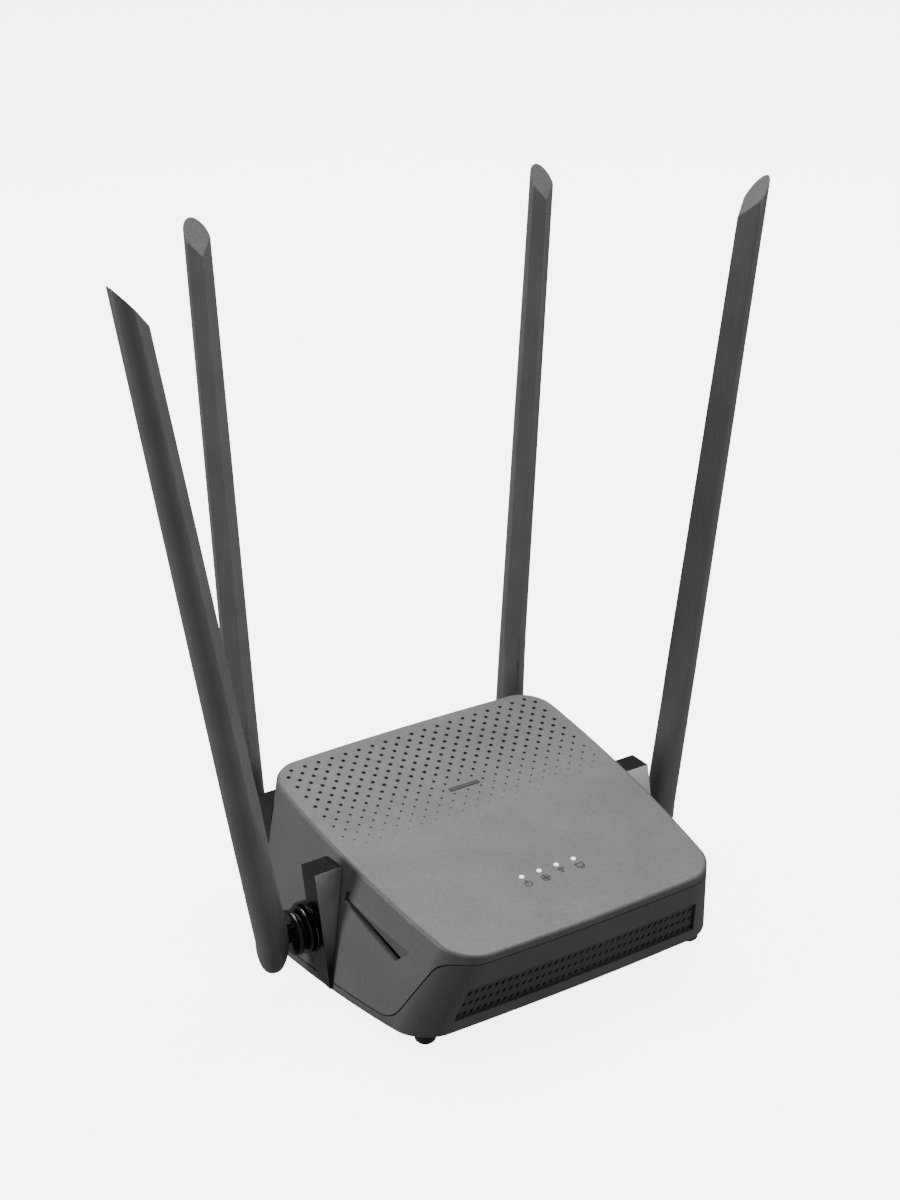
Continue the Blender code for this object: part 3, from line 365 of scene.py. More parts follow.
class Finish:
    """A material under construction."""

    def __init__(self, name, roughness, **constants):
        self.material = bpy.data.materials.new(name)
        self.material.use_nodes = True
        self.tree = self.material.node_tree
        self.shader = self.tree.nodes["Principled BSDF"]
        self.shader.inputs["Roughness"].default_value = roughness
        for key, value in constants.items():
            self.shader.inputs[key.replace("_", " ")].default_value = value
        self.place = self.node("ShaderNodeTexCoord", output="Object")

    def node(self, kind, settings=None, inputs=None, output=0):
        """A node of any type, with its settings and the values or links of its sockets."""
        made = self.tree.nodes.new(kind)
        for key, value in (settings or {}).items():
            setattr(made, key, value)
        for key, value in (inputs or {}).items():
            if isinstance(value, Value):
                self.tree.links.new(value.socket, made.inputs[key])
            else:
                made.inputs[key].default_value = value
        return Value(self, made.outputs[output])

    def noise(self, size, detail=2.0, roughness=0.5, place=None):
        """Noise with features of about this size in metres."""
        inputs = {"Vector": place or self.place, "Scale": 1 / size}
        inputs |= {"Detail": detail, "Roughness": roughness}
        return self.node("ShaderNodeTexNoise", {}, inputs)

    def cells(self, size, place=None):
        inputs = {"Vector": place or self.place, "Scale": 1 / size}
        return self.node("ShaderNodeTexVoronoi", {}, inputs)

    def stretched(self, x, y, z):
        return self.node("ShaderNodeMapping", {}, {"Vector": self.place, "Scale": (x, y, z)})

    def spread(self, value, low, high, least=0.0, most=1.0):
        """Maps a range of values onto another."""
        inputs = {0: value, 1: low, 2: high, 3: least, 4: most}
        return self.node("ShaderNodeMapRange", {}, inputs)

    def mix(self, factor, first, second):
        """Two colours mixed by a factor."""
        inputs = {0: factor}
        for key, value in ((6, first), (7, second)):
            inputs[key] = value if isinstance(value, Value) else (*value, 1.0)
        return self.node("ShaderNodeMix", {"data_type": "RGBA"}, inputs, output=2)

    def feed(self, name, value):
        self.tree.links.new(value.socket, self.shader.inputs[name])

    def bump(self, height, distance, strength=1.0):
        inputs = {"Height": height, "Distance": distance, "Strength": strength}
        self.feed("Normal", self.node("ShaderNodeBump", {}, inputs))


def shade(base, share):
    return tuple(min(c * share, 1.0) for c in base)


def moulded(name, base, roughness=0.5, grain=None, depth=0.000035, speckle=0.5):
    """Plastic with a spark-eroded texture: fine pits with painted shade in them, pale high spots, and a
    faint cloudiness.
    """
    grain = grain or bpy.context.scene.router_sizes.grain
    made = Finish(name, roughness)
    fine = made.noise(grain, 2.5, 0.6)
    coarse = made.noise(grain * 3.1, 1.5)
    cloud = made.noise(0.018, 2.0)
    height = fine * 0.7 + coarse * 0.3
    peaks = made.spread(height, 0.52, 0.72)
    tint = made.mix(made.spread(cloud, 0.35, 0.65), shade(base, 0.93), shade(base, 1.07))
    # painted shade: the low spots of the grain are darkened
    tint = made.mix(made.spread(height, 0.30, 0.48, 0.35, 0.0), tint, shade(base, 0.55))
    made.feed("Base Color", made.mix(peaks * speckle, tint, shade(base, 1.45)))
    made.feed("Roughness", made.spread(height, 0.3, 0.7, roughness + 0.08, roughness - 0.08))
    made.bump(height, depth, 0.6)
    return made.material


def satin(name, base, roughness=0.27):
    """Smooth antenna plastic with a faint grain along its length."""
    made = Finish(name, roughness)
    fine = made.noise(0.00030, 2.0)
    along = made.noise(0.0011, 2.0, place=made.stretched(1.0, 1.0, 0.06))
    cloud = made.noise(0.020, 2.0)
    tint = made.mix(made.spread(cloud, 0.35, 0.65), shade(base, 0.92), shade(base, 1.08))
    made.feed("Base Color", made.mix(made.spread(along, 0.55, 0.75, 0.0, 0.25), tint, shade(base, 1.3)))
    grain = fine * 0.5 + along * 0.5
    made.feed("Roughness", made.spread(grain, 0.3, 0.7, roughness - 0.04, roughness + 0.07))
    made.bump(fine * 0.7 + along * 0.3, 0.000012, 0.5)
    return made.material


def polished(name, base, roughness=0.09):
    """Gloss plastic with a light orange-peel and faint rubbing marks."""
    made = Finish(name, roughness, Specular_IOR_Level=0.5, Coat_Weight=0.3, Coat_Roughness=0.04)
    peel = made.noise(0.0024, 1.0)
    marks = made.noise(0.0006, 3.0, place=made.stretched(1.0, 0.22, 1.0))
    made.feed("Base Color", made.mix(made.spread(marks, 0.62, 0.8), base, shade(base, 3.0)))
    made.feed("Roughness", made.spread(marks, 0.35, 0.75, roughness, roughness + 0.10))
    made.bump(peel, 0.00002, 0.25)
    return made.material


def bracket(name, base, bright):
    """Gloss black plastic whose marked facet carries a painted reflection: bright and metallic at the top,
    darkening towards its foot.
    """
    made = Finish(name, 0.1, Coat_Weight=0.3, Coat_Roughness=0.04)
    facet = made.node("ShaderNodeAttribute", {"attribute_name": "facet"}, output=2)
    height = made.node("ShaderNodeSeparateXYZ", {}, {0: made.place}, output=2)
    marks = made.noise(0.0009, 2.0, place=made.stretched(1.0, 0.22, 1.0))
    # painted reflection: the marked faces turn pale and metallic towards the top and dark at the foot
    painted_reflection_share = made.spread(height, 0.012, 0.040) * facet
    made.feed("Base Color", made.mix(painted_reflection_share, base, bright))
    made.feed("Metallic", painted_reflection_share)
    made.feed("Roughness", made.spread(marks, 0.35, 0.75, 0.10, 0.20) + facet * 0.2)
    made.bump(made.noise(0.0024, 1.0), 0.00002, 0.25)
    return made.material


def rubber(name, base):
    made = Finish(name, 0.8)
    dust = made.noise(0.0011, 3.0)
    made.feed("Base Color", made.mix(made.spread(dust, 0.5, 0.75, 0.0, 0.5), base, shade(base, 2.6)))
    made.feed("Roughness", made.spread(dust, 0.3, 0.7, 0.72, 0.9))
    made.bump(made.noise(0.0003, 2.0), 0.00003, 0.5)
    return made.material


def plated(name, base, roughness, streak=(1.0, 0.08, 1.0)):
    """Bare or plated metal with fine streaks."""
    made = Finish(name, roughness, Metallic=1.0)
    lines = made.noise(0.00035, 3.0, place=made.stretched(*streak))
    made.feed("Base Color", made.mix(made.spread(lines, 0.35, 0.7), shade(base, 0.85), shade(base, 1.08)))
    made.feed("Roughness", made.spread(lines, 0.3, 0.7, roughness - 0.08, roughness + 0.12))
    made.bump(lines, 0.000008, 0.4)
    return made.material


def circuit(name):
    """Solder mask over copper tracks, with plated dots."""
    made = Finish(name, 0.35)
    tracks = made.cells(0.0021, made.stretched(1.0, 0.45, 1.0))
    dots = made.cells(0.0034)
    tint = made.mix(made.spread(tracks, 0.20, 0.32), (0.018, 0.14, 0.07), (0.010, 0.075, 0.04))
    made.feed("Base Color", made.mix(dots < 0.12, tint, (0.62, 0.60, 0.52)))
    made.feed("Roughness", made.spread(tracks, 0.2, 0.5, 0.28, 0.42))
    made.bump(made.spread(tracks, 0.2, 0.32), 0.00004, 0.4)
    return made.material


def glowing(name, base, strength):
    """A lit light-pipe end, its brightness varying with a fine mottle."""
    made = Finish(name, 0.2, Emission_Strength=strength)
    cloud = made.noise(0.0006, 1.0)
    tint = made.mix(made.spread(cloud, 0.3, 0.7), shade(base, 0.88), base)
    made.feed("Base Color", tint)
    made.feed("Emission Color", tint)
    return made.material


def plain(name, base, roughness=0.45):
    """Simple moulded or printed surface with a fine grain."""
    made = Finish(name, roughness)
    fine = made.noise(0.0005, 2.0)
    made.feed("Base Color", made.mix(made.spread(fine, 0.35, 0.7), shade(base, 0.85), shade(base, 1.15)))
    made.feed("Roughness", made.spread(fine, 0.3, 0.7, roughness - 0.05, roughness + 0.1))
    made.bump(fine, 0.00001, 0.4)
    return made.material


FINISHES = {}


def look(name):
    """One material for each finish, made when it is first asked for."""
    hues = bpy.context.scene.router_colours
    makers = {
        "cover": lambda: moulded("cover_charcoal", hues.cover, 0.50),
        "base": lambda: moulded("base_charcoal", hues.base, 0.50),
        "grille": lambda: moulded("grille_charcoal", hues.grille, 0.46, depth=0.00002, speckle=0.3),
        "panel": lambda: moulded("panel_charcoal", hues.panel, 0.50),
        "blade": lambda: satin("satin_charcoal", hues.blade),
        "gloss": lambda: polished("gloss_black", hues.gloss),
        # the mounts' marked faces take a painted reflection in this pale grey
        "bracket": lambda: bracket("bracket_black_painted_reflection", hues.gloss, (0.62, 0.62, 0.62)),
        "rubber": lambda: rubber("dark_rubber", (0.016, 0.016, 0.016)),
        "steel": lambda: plated("plated_steel", (0.60, 0.60, 0.61), 0.28),
        "gold": lambda: plated("gilt_contacts", (0.83, 0.61, 0.25), 0.22),
        "alloy": lambda: plated("anodised_alloy", (0.45, 0.46, 0.48), 0.38),
        "board": lambda: circuit("circuit_green"),
        "black": lambda: plain("moulded_black", (0.012, 0.012, 0.013), 0.40),
        "sleeve": lambda: plain("capacitor_sleeve", (0.02, 0.03, 0.07), 0.35),
        "led": lambda: plain("led_body", (0.85, 0.82, 0.62), 0.35),
        "lit": lambda: glowing("lit_pipe", (1.0, 1.0, 1.0), 1.6),
        "ink": lambda: plain("printed_ink", (0.006, 0.006, 0.006), 0.5),
        "label": lambda: plain("label_film", (0.72, 0.72, 0.70), 0.35),
    }
    if name not in FINISHES:
        FINISHES[name] = makers[name]()
    return FINISHES[name]


# --- The case's surface -----------------------------------------------------------------------
def bowed(start, end, sag, share):
    """Point and direction on an edge that bows outwards, a share of the way along it."""
    along = end - start
    outward = np.array([along[1], -along[0]]) / np.linalg.norm(along)
    point = start + along * share + outward * sag * 4 * share * (1 - share)
    heading = along + outward * sag * 4 * (1 - 2 * share)
    return point, heading / np.linalg.norm(heading)


def plan(front_half, rear_half, front_y, back_y):
    """The outline in plan, anticlockwise: four bowed edges and four smooth corners."""
    places = ((-front_half, front_y), (front_half, front_y), (rear_half, back_y), (-rear_half, back_y))
    corners = [np.array(p) for p in places]
    sags = (END_SAG, SIDE_SAG, END_SAG, SIDE_SAG)
    loop = []
    for k in range(4):
        start, end, beyond = corners[k], corners[(k + 1) % 4], corners[(k + 2) % 4]
        share = CORNER_RADIUS / np.linalg.norm(end - start)
        next_share = CORNER_RADIUS / np.linalg.norm(beyond - end)
        loop += [bowed(start, end, sags[k], s)[0] for s in np.linspace(share, 1 - share, EDGE_STEPS + 1)]
        leave, heading = bowed(start, end, sags[k], 1 - share)
        arrive, onward = bowed(end, beyond, sags[(k + 1) % 4], next_share)
        first = leave + heading * CORNER_RADIUS * ARC_HANDLE
        second = arrive - onward * CORNER_RADIUS * ARC_HANDLE
        for t in np.linspace(0, 1, CORNER_STEPS + 1)[1:-1]:
            rest = 1 - t
            weights = (rest**3, 3 * rest * rest * t, 3 * rest * t * t, t**3)
            loop.append(sum(w * p for w, p in zip(weights, (leave, first, second, arrive))))
    return np.array(loop)


def top_height(y):
    return FRONT_HEIGHT + (REAR_HEIGHT - FRONT_HEIGHT) * (y - FRONT_Y) / TOP_DEPTH


BASE_PLAN = plan(BASE_FRONT_HALF, BASE_REAR_HALF, FRONT_Y + FRONT_SETBACK, REAR_Y - REAR_SETBACK)
TOP_PLAN = plan(TOP_FRONT_HALF, TOP_REAR_HALF, FRONT_Y, REAR_Y)
RIM_HEIGHT = top_height(TOP_PLAN[:, 1])


def drawn_in(loop, distance):
    tangent = np.roll(loop, -1, axis=0)[:, :2] - np.roll(loop, 1, axis=0)[:, :2]
    tangent /= np.linalg.norm(tangent, axis=1)[:, None]
    moved = loop.copy()
    moved[:, 0] -= tangent[:, 1] * distance
    moved[:, 1] += tangent[:, 0] * distance
    return moved


def ring_at(heights, inset):
    share = (heights / RIM_HEIGHT)[:, None]
    flat = BASE_PLAN * (1 - share) + TOP_PLAN * share
    return drawn_in(np.column_stack([flat, heights]), inset)


def above_base(height, inset):
    return ring_at(np.full(len(RIM_HEIGHT), height), inset)


def below_top(drop, inset):
    ring = ring_at(RIM_HEIGHT - drop, inset)
    ring[:, 2] = top_height(ring[:, 1]) - drop
    return ring


def case_solid(name, inset=0.0):
    """The whole case, drawn in by inset, in triangles because its sides are slightly twisted."""
    radius = TOP_EDGE_RADIUS
    low = [(inset, inset + BASE_CHAMFER), (inset + BASE_CHAMFER / 3, inset + BASE_CHAMFER / 3)]
    rings = [above_base(height, drawn) for height, drawn in (*low, (inset + BASE_CHAMFER, inset))]
    for angle in np.linspace(0, math.pi / 2, 12):
        drop, drawn = radius * (1 - math.sin(angle)), radius * (1 - math.cos(angle))
        rings.append(below_top(inset + drop, inset + drawn))
    return triangulate(ring_solid(name, rings))


def cavity_solid():
    rings = [above_base(FLOOR, WALL), below_top(ROOF + WALL, WALL), below_top(ROOF, 2 * WALL)]
    return triangulate(ring_solid("tool_cavity", rings))


def side_x(y, z):
    """Half width of the case's outer surface at a depth and a height."""
    up = z / top_height(y)
    front = FRONT_Y + FRONT_SETBACK * (1 - up)
    rear = REAR_Y - REAR_SETBACK * (1 - up)
    share = (y - front) / (rear - front)
    base = BASE_FRONT_HALF + (BASE_REAR_HALF - BASE_FRONT_HALF) * share
    top = TOP_FRONT_HALF + (TOP_REAR_HALF - TOP_FRONT_HALF) * share
    return base * (1 - up) + top * up + SIDE_SAG * 4 * share * (1 - share)


def softened(points, radius):
    """A path with its inner corners rounded."""
    path = [np.array(points[0])]
    for trio in zip(points, points[1:], points[2:]):
        before, corner, after = (np.array(p) for p in trio)
        back = (before - corner) / np.linalg.norm(before - corner)
        on = (after - corner) / np.linalg.norm(after - corner)
        for t in np.linspace(0, 1, 13):
            path.append(corner + back * radius * (1 - t) ** 2 + on * radius * t**2)
    path.append(np.array(points[-1]))
    return np.array(path)


def part_tool(rise):
    """Everything under the parting line, which is raised by rise."""
    far = 2 * TOP_DEPTH
    turns = [(far, PART_HEIGHT), (PART_FOOT_Y, PART_HEIGHT), (PART_KNEE_Y, PART_LIP), (-far, PART_LIP)]
    line = softened(turns, PART_CORNER)
    tangent = np.gradient(line, axis=0)
    tangent /= np.linalg.norm(tangent, axis=1)[:, None]
    line = line + np.column_stack([tangent[:, 1], -tangent[:, 0]]) * rise
    outline = [tuple(p) for p in line] + [(-far, -far), (far, -far)]
    return plate("tool_part", outline, "X", -TOP_DEPTH, TOP_DEPTH)


def stem_tools():
    """Rods where the antennas' stems pass through the walls."""
    tools = []
    for antenna in ANTENNAS:
        low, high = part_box(f"{antenna}_hub")
        middle = (low + high) / 2 - SHIFT
        if antenna.startswith("rear"):
            axis, centre, along = "Y", (middle.x, middle.z), middle.y
        else:
            axis, centre, along = "X", (middle.y, middle.z), middle.x
        span = (along - STEM_REACH, along + STEM_REACH)
        tools.append(rod("tool_stem", STEM_HOLE, axis, centre, *span, sides=24))
    return together("tool_stems", tools)


def seat(piece):
    """Moves a piece from the case's own origin to the frame's."""
    piece.data.transform(Matrix.Translation(SHIFT))
    return piece


def side_slot_tool(side):
    """The slanted slot with a short upright notch at its upper end."""
    high, low = np.array(SLOT_REAR), np.array(SLOT_FRONT)
    along = (low - high) / np.linalg.norm(low - high)
    half = np.array([-along[1], along[0]]) * SLOT_WIDTH / 2
    depth = min(side_x(*SLOT_REAR), side_x(*SLOT_FRONT)) - WALL - 0.0008
    outer = BASE_REAR_HALF * 1.2
    span = sorted((side * depth, side * outer))
    rear, front = high[0], high[0] - SLOT_WIDTH * 0.8
    top = high[1] + NOTCH_HEIGHT
    inner = (front, high[1] - half[1] - SLOT_WIDTH * 0.25)
    outline = [tuple(c) for c in (high + half, (rear, top), (front, top), inner, low - half, low + half)]
    return plate("tool_slot", outline, "X", *span)


def facet_tool(side):
    """The shallow three-cornered facet that runs down into a side slot."""
    marks = (SLOT_REAR, SLOT_FRONT, FACET_CORNER)
    sinks = (0.0, FACET_DEPTH, 0.0)
    floor = [(side * (side_x(y, z) - sink), y, z) for (y, z), sink in zip(marks, sinks)]
    outside = [(side * (side_x(y, z) + 0.003), y, z) for y, z in marks]
    return ring_solid("tool_facet", [floor, outside])


def vent_tool():
    """Staggered rows of holes that shrink towards the front."""
    sizes = bpy.context.scene.router_sizes
    rows = []
    for row in range(VENT_ROWS):
        share = max(0, row - VENT_FULL_ROWS) / (VENT_ROWS - 1 - VENT_FULL_ROWS)
        radius = sizes.vent_radius + (sizes.vent_least - sizes.vent_radius) * share
        count = VENT_COLUMNS + row % 2
        y = REAR_Y - 0.0044 - sizes.vent_row * row
        x = -(count - 1) / 2 * sizes.vent_pitch
        z = top_height(y)
        hole = rod("tool_vent", radius, "Z", (x, y), z - 2 * ROOF, z + 0.002, sides=12)
        rows.append(row_of(hole, count, (sizes.vent_pitch, 0, 0)))
    return together("tool_vents", rows)


def niche(cover):
    """The rear niche: a lined frame round the panel, open to the rear."""
    panel_low, panel_high = (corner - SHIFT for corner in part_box("rear_panel"))
    half = panel_high.x + GAP
    high = panel_high.z + GAP
    lip = NICHE_LIP
    back = panel_low.y - GAP
    outer = half + lip
    lining = case_solid("tool_lining", WALL / 2)
    low = PART_HEIGHT + PART_SEAM / 2
    box = block("tool_box", (-outer, back - lip, low), (outer, REAR_Y + 0.01, high + lip))
    carve(lining, box, "INTERSECT")
    carve(cover, lining, "UNION")
    carve(cover, block("tool_niche", (-half, back, -0.01), (half, REAR_Y + 0.02, high)))
    inner = half - lip
    mouth = block("tool_mouth", (-inner, back - lip - 0.005, -0.01), (inner, back + 0.001, high - lip))
    carve(cover, mouth)


class RouterCover(bpy.types.Operator):
    """Upper shell with its vents, side slots, facets and rear niche"""

    bl_idname = "router.cover"
    bl_label = "Cover"

    def execute(self, context):
        cover = case_solid("cover")
        carve(cover, cavity_solid())
        carve(cover, part_tool(PART_SEAM / 2))
        niche(cover)
        for side in (-1, 1):
            carve(cover, facet_tool(side))
            carve(cover, side_slot_tool(side))
        carve(cover, stem_tools())
        carve(cover, vent_tool())
        seat(cover)
        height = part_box("light_pipe")[1].z
        span = (height - 0.006, height + 0.004)
        holes = [rod("tool_light", LIGHT_HOLE, "Z", place, *span, 24) for place in light_places()]
        carve(cover, together("tool_lights", holes))
        smooth(cover, 9.5)
        finish_piece(cover, CASE, look("cover"), "cover", "top_cover")
        return {"FINISHED"}


def grille_outline(shrink):
    low, high = (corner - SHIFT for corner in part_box("front_grille"))
    half_low = high.x + GAP - shrink
    half_high = half_low - 0.0030
    bottom, top = low.z - GAP + shrink, high.z + GAP - shrink
    return [(-half_low, bottom), (half_low, bottom), (half_high, top), (-half_high, top)]


class RouterBase(bpy.types.Operator):
    """Lower shell that wraps up round the front, with its window and underside details"""

    bl_idname = "router.base"
    bl_label = "Base"

    def execute(self, context):
        base = case_solid("base")
        carve(base, cavity_solid())
        carve(base, part_tool(-PART_SEAM / 2), "INTERSECT")
        carve(base, plate("tool_window", grille_outline(0.0), "Y", FRONT_Y - 0.01, FRONT_Y + 0.0245))
        carve(base, stem_tools())
        seat(base)
        for place in ("fl", "fr", "rl", "rr"):
            low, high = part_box(f"foot_{place}")
            middle = (low + high) / 2
            radius = (high.x - low.x) / 2 + GAP
            carve(base, rod("tool_foot", radius, "Z", middle.xy, -0.01, high.z + GAP))
            low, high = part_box(f"case_screw_{place}")
            middle = (low + high) / 2
            radius = (high.x - low.x) / 2 + GAP
            carve(base, rod("tool_seat", radius, "Z", middle.xy, -0.01, low.z + SCREW_SEAT))
        for y in (-0.030, 0.004):
            slot = block("tool_vent", (-0.0300, y, 0.0), (-0.0284, y + 0.018, 0.008))
            carve(base, row_of(slot, 16, (0.0039, 0, 0)))
        smooth(base)
        finish_piece(base, CASE, look("base"), "base", "bottom_case")
        under = SHIFT.z
        label = block("rating_label", (-0.024, -0.0110, under - 0.00008), (0.024, 0.0030, under + 0.0002))
        smooth(label)
        finish_piece(label, CASE, look("label"), "panel")
        return {"FINISHED"}


class RouterGrille(bpy.types.Operator):
    """Front strip with rows of small slanted slots"""

    bl_idname = "router.grille"
    bl_label = "Front grille"

    def execute(self, context):
        sizes = context.scene.router_sizes
        grille = case_solid("grille", 0.0009)
        carve(grille, case_solid("tool_inner", 0.0025))
        strip = plate("tool_strip", grille_outline(GAP), "Y", FRONT_Y - 0.01, FRONT_Y + 0.0245)
        carve(grille, strip, "INTERSECT")
        slant = sizes.slot_height * 0.45
        rows = []
        for row, z in enumerate(GRILLE_HEIGHTS):
            count = GRILLE_COLUMNS + row
            x = -(count - 1) / 2 * sizes.slot_pitch
            half, tall = sizes.slot_width / 2, sizes.slot_height / 2
            lower = [(x + side * half - slant / 2, z - tall) for side in (-1, 1)]
            upper = [(x + side * half + slant / 2, z + tall) for side in (1, -1)]
            outline = lower + upper
            slot = plate("tool_slit", outline, "Y", FRONT_Y - 0.005, FRONT_Y + 0.025)
            rows.append(row_of(slot, count, (sizes.slot_pitch, 0, 0)))
        carve(grille, together("tool_slits", rows))
        seat(grille)
        smooth(grille)
        finish_piece(grille, CASE, look("grille"), "grille", "front_grille")
        return {"FINISHED"}


def contact_row(name, node):
    """Eight sprung contacts slanting down from the roof of a network socket."""
    low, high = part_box(node)
    middle = (low.x + high.x) / 2
    pitch = 0.00102
    wire = block("wire", (-0.00022, 0.0, -0.00014), (0.00022, 0.0092, 0.00014))
    active(wire)
    bpy.ops.object.mode_set(mode="EDIT")
    work = bmesh.from_edit_mesh(wire.data)
    for face in work.faces:
        face.select = face.normal.y > 0.9
    bmesh.update_edit_mesh(wire.data)
    bpy.ops.mesh.extrude_region_move(TRANSFORM_OT_translate={"value": (0, 0.0005, 0.0009)})
    bpy.ops.object.mode_set(mode="OBJECT")
    wire.data.transform(Matrix.Rotation(math.radians(-20), 4, "X"))
    start = Vector((middle - 3.5 * pitch, high.y - 0.0118, high.z - 0.0020))
    wire.data.transform(Matrix.Translation(start))
    row_of(wire, 8, (pitch, 0, 0))
    wire.name = name
    smooth(wire)
    return finish_piece(wire, CASE, look("gold"), "steel")


class RouterPanel(bpy.types.Operator):
    """Rear panel with its sockets and their contacts"""

    bl_idname = "router.panel"
    bl_label = "Rear panel and sockets"

    def execute(self, context):
        finish_piece(refined("rear_panel", "panel", 0.00025), CASE, look("panel"), "panel", "rear_panel")
        for node in ("wan_jack", "lan_jack_1", "lan_jack_2", "lan_jack_3", "lan_jack_4"):
            piece = refined(node, f"{node}_shell", 0.0003, 2)
            finish_piece(piece, CASE, look("black"), "black", node)
            contact_row(f"{node}_contacts", node)
        piece = refined("dc_jack", "dc_jack_shell", 0.00025, 2)
        finish_piece(piece, CASE, look("black"), "black", "dc_jack")
        low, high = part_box("dc_jack")
        centre = ((low.x + high.x) / 2, (low.z + high.z) / 2)
        sleeve = rod("dc_jack_pin", 0.00105, "Y", centre, high.y - 0.009, high.y - 0.0006, 32)
        apply_modifier(sleeve, "BEVEL", width=0.0004, segments=4, limit_method="ANGLE")
        finish_piece(smooth(sleeve), CASE, look("steel"), "steel")
        return {"FINISHED"}


def rim_points(end, radius, rim, steps=7):
    """Quarter round at the outer rim of a disc, as (x, radius) pairs."""
    turns = np.linspace(0, math.pi / 2, steps)
    return [(end - rim * (1 - math.sin(a)), radius - rim * (1 - math.cos(a))) for a in turns]


class RouterButtons(bpy.types.Operator):
    """Round push buttons with dished caps"""

    bl_idname = "router.buttons"
    bl_label = "Buttons"

    def execute(self, context):
        for name in ("power", "wps", "reset"):
            low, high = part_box(f"{name}_button")
            middle = (low + high) / 2
            flange = (high.x - low.x) / 2
            radius = flange - 0.0009
            rim = min(0.0005, radius / 3)
            depth = high.y - low.y
            step = 0.0014
            profile = [(0, flange), (step, flange), (step, radius), *rim_points(depth, radius, rim, 6)]
            if radius > 0.002:
                profile += [(depth - 0.0003, radius - 0.0009), (depth - 0.0004, radius * 0.3)]
            cap = lathe(f"{name}_cap", profile)
            place = Matrix.Translation((middle.x, low.y, middle.z))
            cap.data.transform(place @ Matrix.Rotation(math.pi / 2, 4, "Z"))
            smooth(cap)
            finish_piece(cap, f"{name}_button", look("black"), "black", f"{name}_button")
        return {"FINISHED"}


def light_places():
    """Middle of each status light, from the light pipe's own width."""
    low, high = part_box("light_pipe")
    y = (low.y + high.y) / 2
    first = low.x + 0.0016
    return [(first + (high.x - low.x - 0.0032) * i / 3, y) for i in range(4)]


def on_top(piece, x, y):
    """Lays a flat piece on the sloping top at a place."""
    spot = Vector((x, y, top_height(y - SHIFT.y) + SHIFT.z))
    piece.data.transform(Matrix.Translation(spot) @ Matrix.Rotation(SLOPE, 4, "X"))
    return piece


def thin_ring(radius, line=0.00017, share=1.0):
    """A flat printed ring, or the part of it above its middle."""
    radii = {"major_radius": radius, "minor_radius": line}
    bpy.ops.mesh.primitive_torus_add(major_segments=40, minor_segments=6, **radii)
    ring = added("ring")
    if share < 1.0:
        bpy.ops.object.mode_set(mode="EDIT")
        for side in (-1, 1):
            bpy.ops.mesh.select_all(action="SELECT")
            tilt = math.pi * share / 2
            normal = (side * math.cos(tilt), -math.sin(tilt), 0)
            bpy.ops.mesh.bisect(plane_co=(0, 0, 0), plane_no=normal, use_fill=True, clear_outer=True)
        bpy.ops.object.mode_set(mode="OBJECT")
    return ring


def stroke(a, b, line=0.00017):
    """A printed line between two points."""
    a, b = Vector(a), Vector(b)
    run = b - a
    bar = block("stroke", (-line, -line, -line), (run.length + line, line, line))
    bar.data.transform(Matrix.Translation((*a, 0)) @ Matrix.Rotation(math.atan2(run.y, run.x), 4, "Z"))
    return bar


def symbol(kind):
    """A plain symbol about 2.6 mm wide: mains, network, wireless or wired computer."""
    if kind == "mains":
        return [thin_ring(0.00105), stroke((0, 0.0002), (0, 0.0016))]
    if kind == "network":
        across = [stroke((-0.0011, 0), (0.0011, 0)), stroke((0, -0.0011), (0, 0.0011))]
        return [thin_ring(0.00115), thin_ring(0.00055), *across]
    if kind == "wireless":
        return [thin_ring(r, share=0.5) for r in (0.0006, 0.0011, 0.0016)] + [thin_ring(0.00016, 0.00014)]
    corners = [(-0.0011, -0.0005), (0.0011, -0.0005), (0.0011, 0.0009), (-0.0011, 0.0009)]
    sides = [stroke(a, b) for a, b in zip(corners, corners[1:] + corners[:1])]
    return [*sides, stroke((-0.0006, -0.0011), (0.0006, -0.0011))]


class RouterLights(bpy.types.Operator):
    """Status lights, the symbols beside them, and a plain badge"""

    bl_idname = "router.lights"
    bl_label = "Lights and symbols"

    def execute(self, context):
        dress("light_pipe", look("lit"))
        dress("led_strip", look("led"))
        for kind, (x, y) in zip(("mains", "network", "wireless", "computer"), light_places()):
            piece = together(f"symbol_{kind}", symbol(kind))
            piece.data.transform(Matrix.Diagonal((1.15, 1.15, 0.5, 1.0)))
            on_top(piece, x, y - 0.0038)
            finish_piece(piece, CASE, look("ink"), "grille")
        badge = block("badge", (-0.0058, -0.00085, -0.0002), (0.0058, 0.00085, 0.00022))
        bpy.ops.object.mode_set(mode="EDIT")
        bpy.ops.mesh.select_all(action="DESELECT")
        work = bmesh.from_edit_mesh(badge.data)
        for edge in work.edges:
            edge.select = abs(edge.verts[0].co.z - edge.verts[1].co.z) > 0.0001
        bmesh.update_edit_mesh(badge.data)
        bpy.ops.mesh.bevel(offset=0.0008, segments=8)
        bpy.ops.object.mode_set(mode="OBJECT")
        apply_modifier(badge, "BEVEL", width=0.0001, segments=2, limit_method="ANGLE")
        on_top(badge, 0.0, 0.0179 + SHIFT.y)
        finish_piece(smooth(badge), CASE, look("ink"), "gloss")
        return {"FINISHED"}


# --- Antennas ---------------------------------------------------------------------------------
STEM_RADIUS = 0.0026
SPIGOT_RADIUS = 0.0030
SPIGOT_LENGTH = 0.0034


def axis_frames(antenna):
    """The antenna's fixed frame and its turned frame: X outwards along the axis, Z up."""
    heading, turn, _ = ANTENNAS[antenna]
    joint = next(j for j in frame["joints"] if j["name"] == f"{antenna}_swivel")
    fixed = Matrix.Translation(joint["pos_m"]) @ Matrix.Rotation(heading, 4, "Z")
    return fixed, fixed @ Matrix.Rotation(turn, 4, "X")


def span_along(node, fixed):
    """Where a frame node starts and ends along its antenna's axis, and its radius there."""
    back = fixed.inverted()
    points = [back @ v.co for v in frame["nodes"][node].data.vertices]
    radius = max(math.hypot(p.y, p.z) for p in points)
    return min(p.x for p in points), max(p.x for p in points), radius


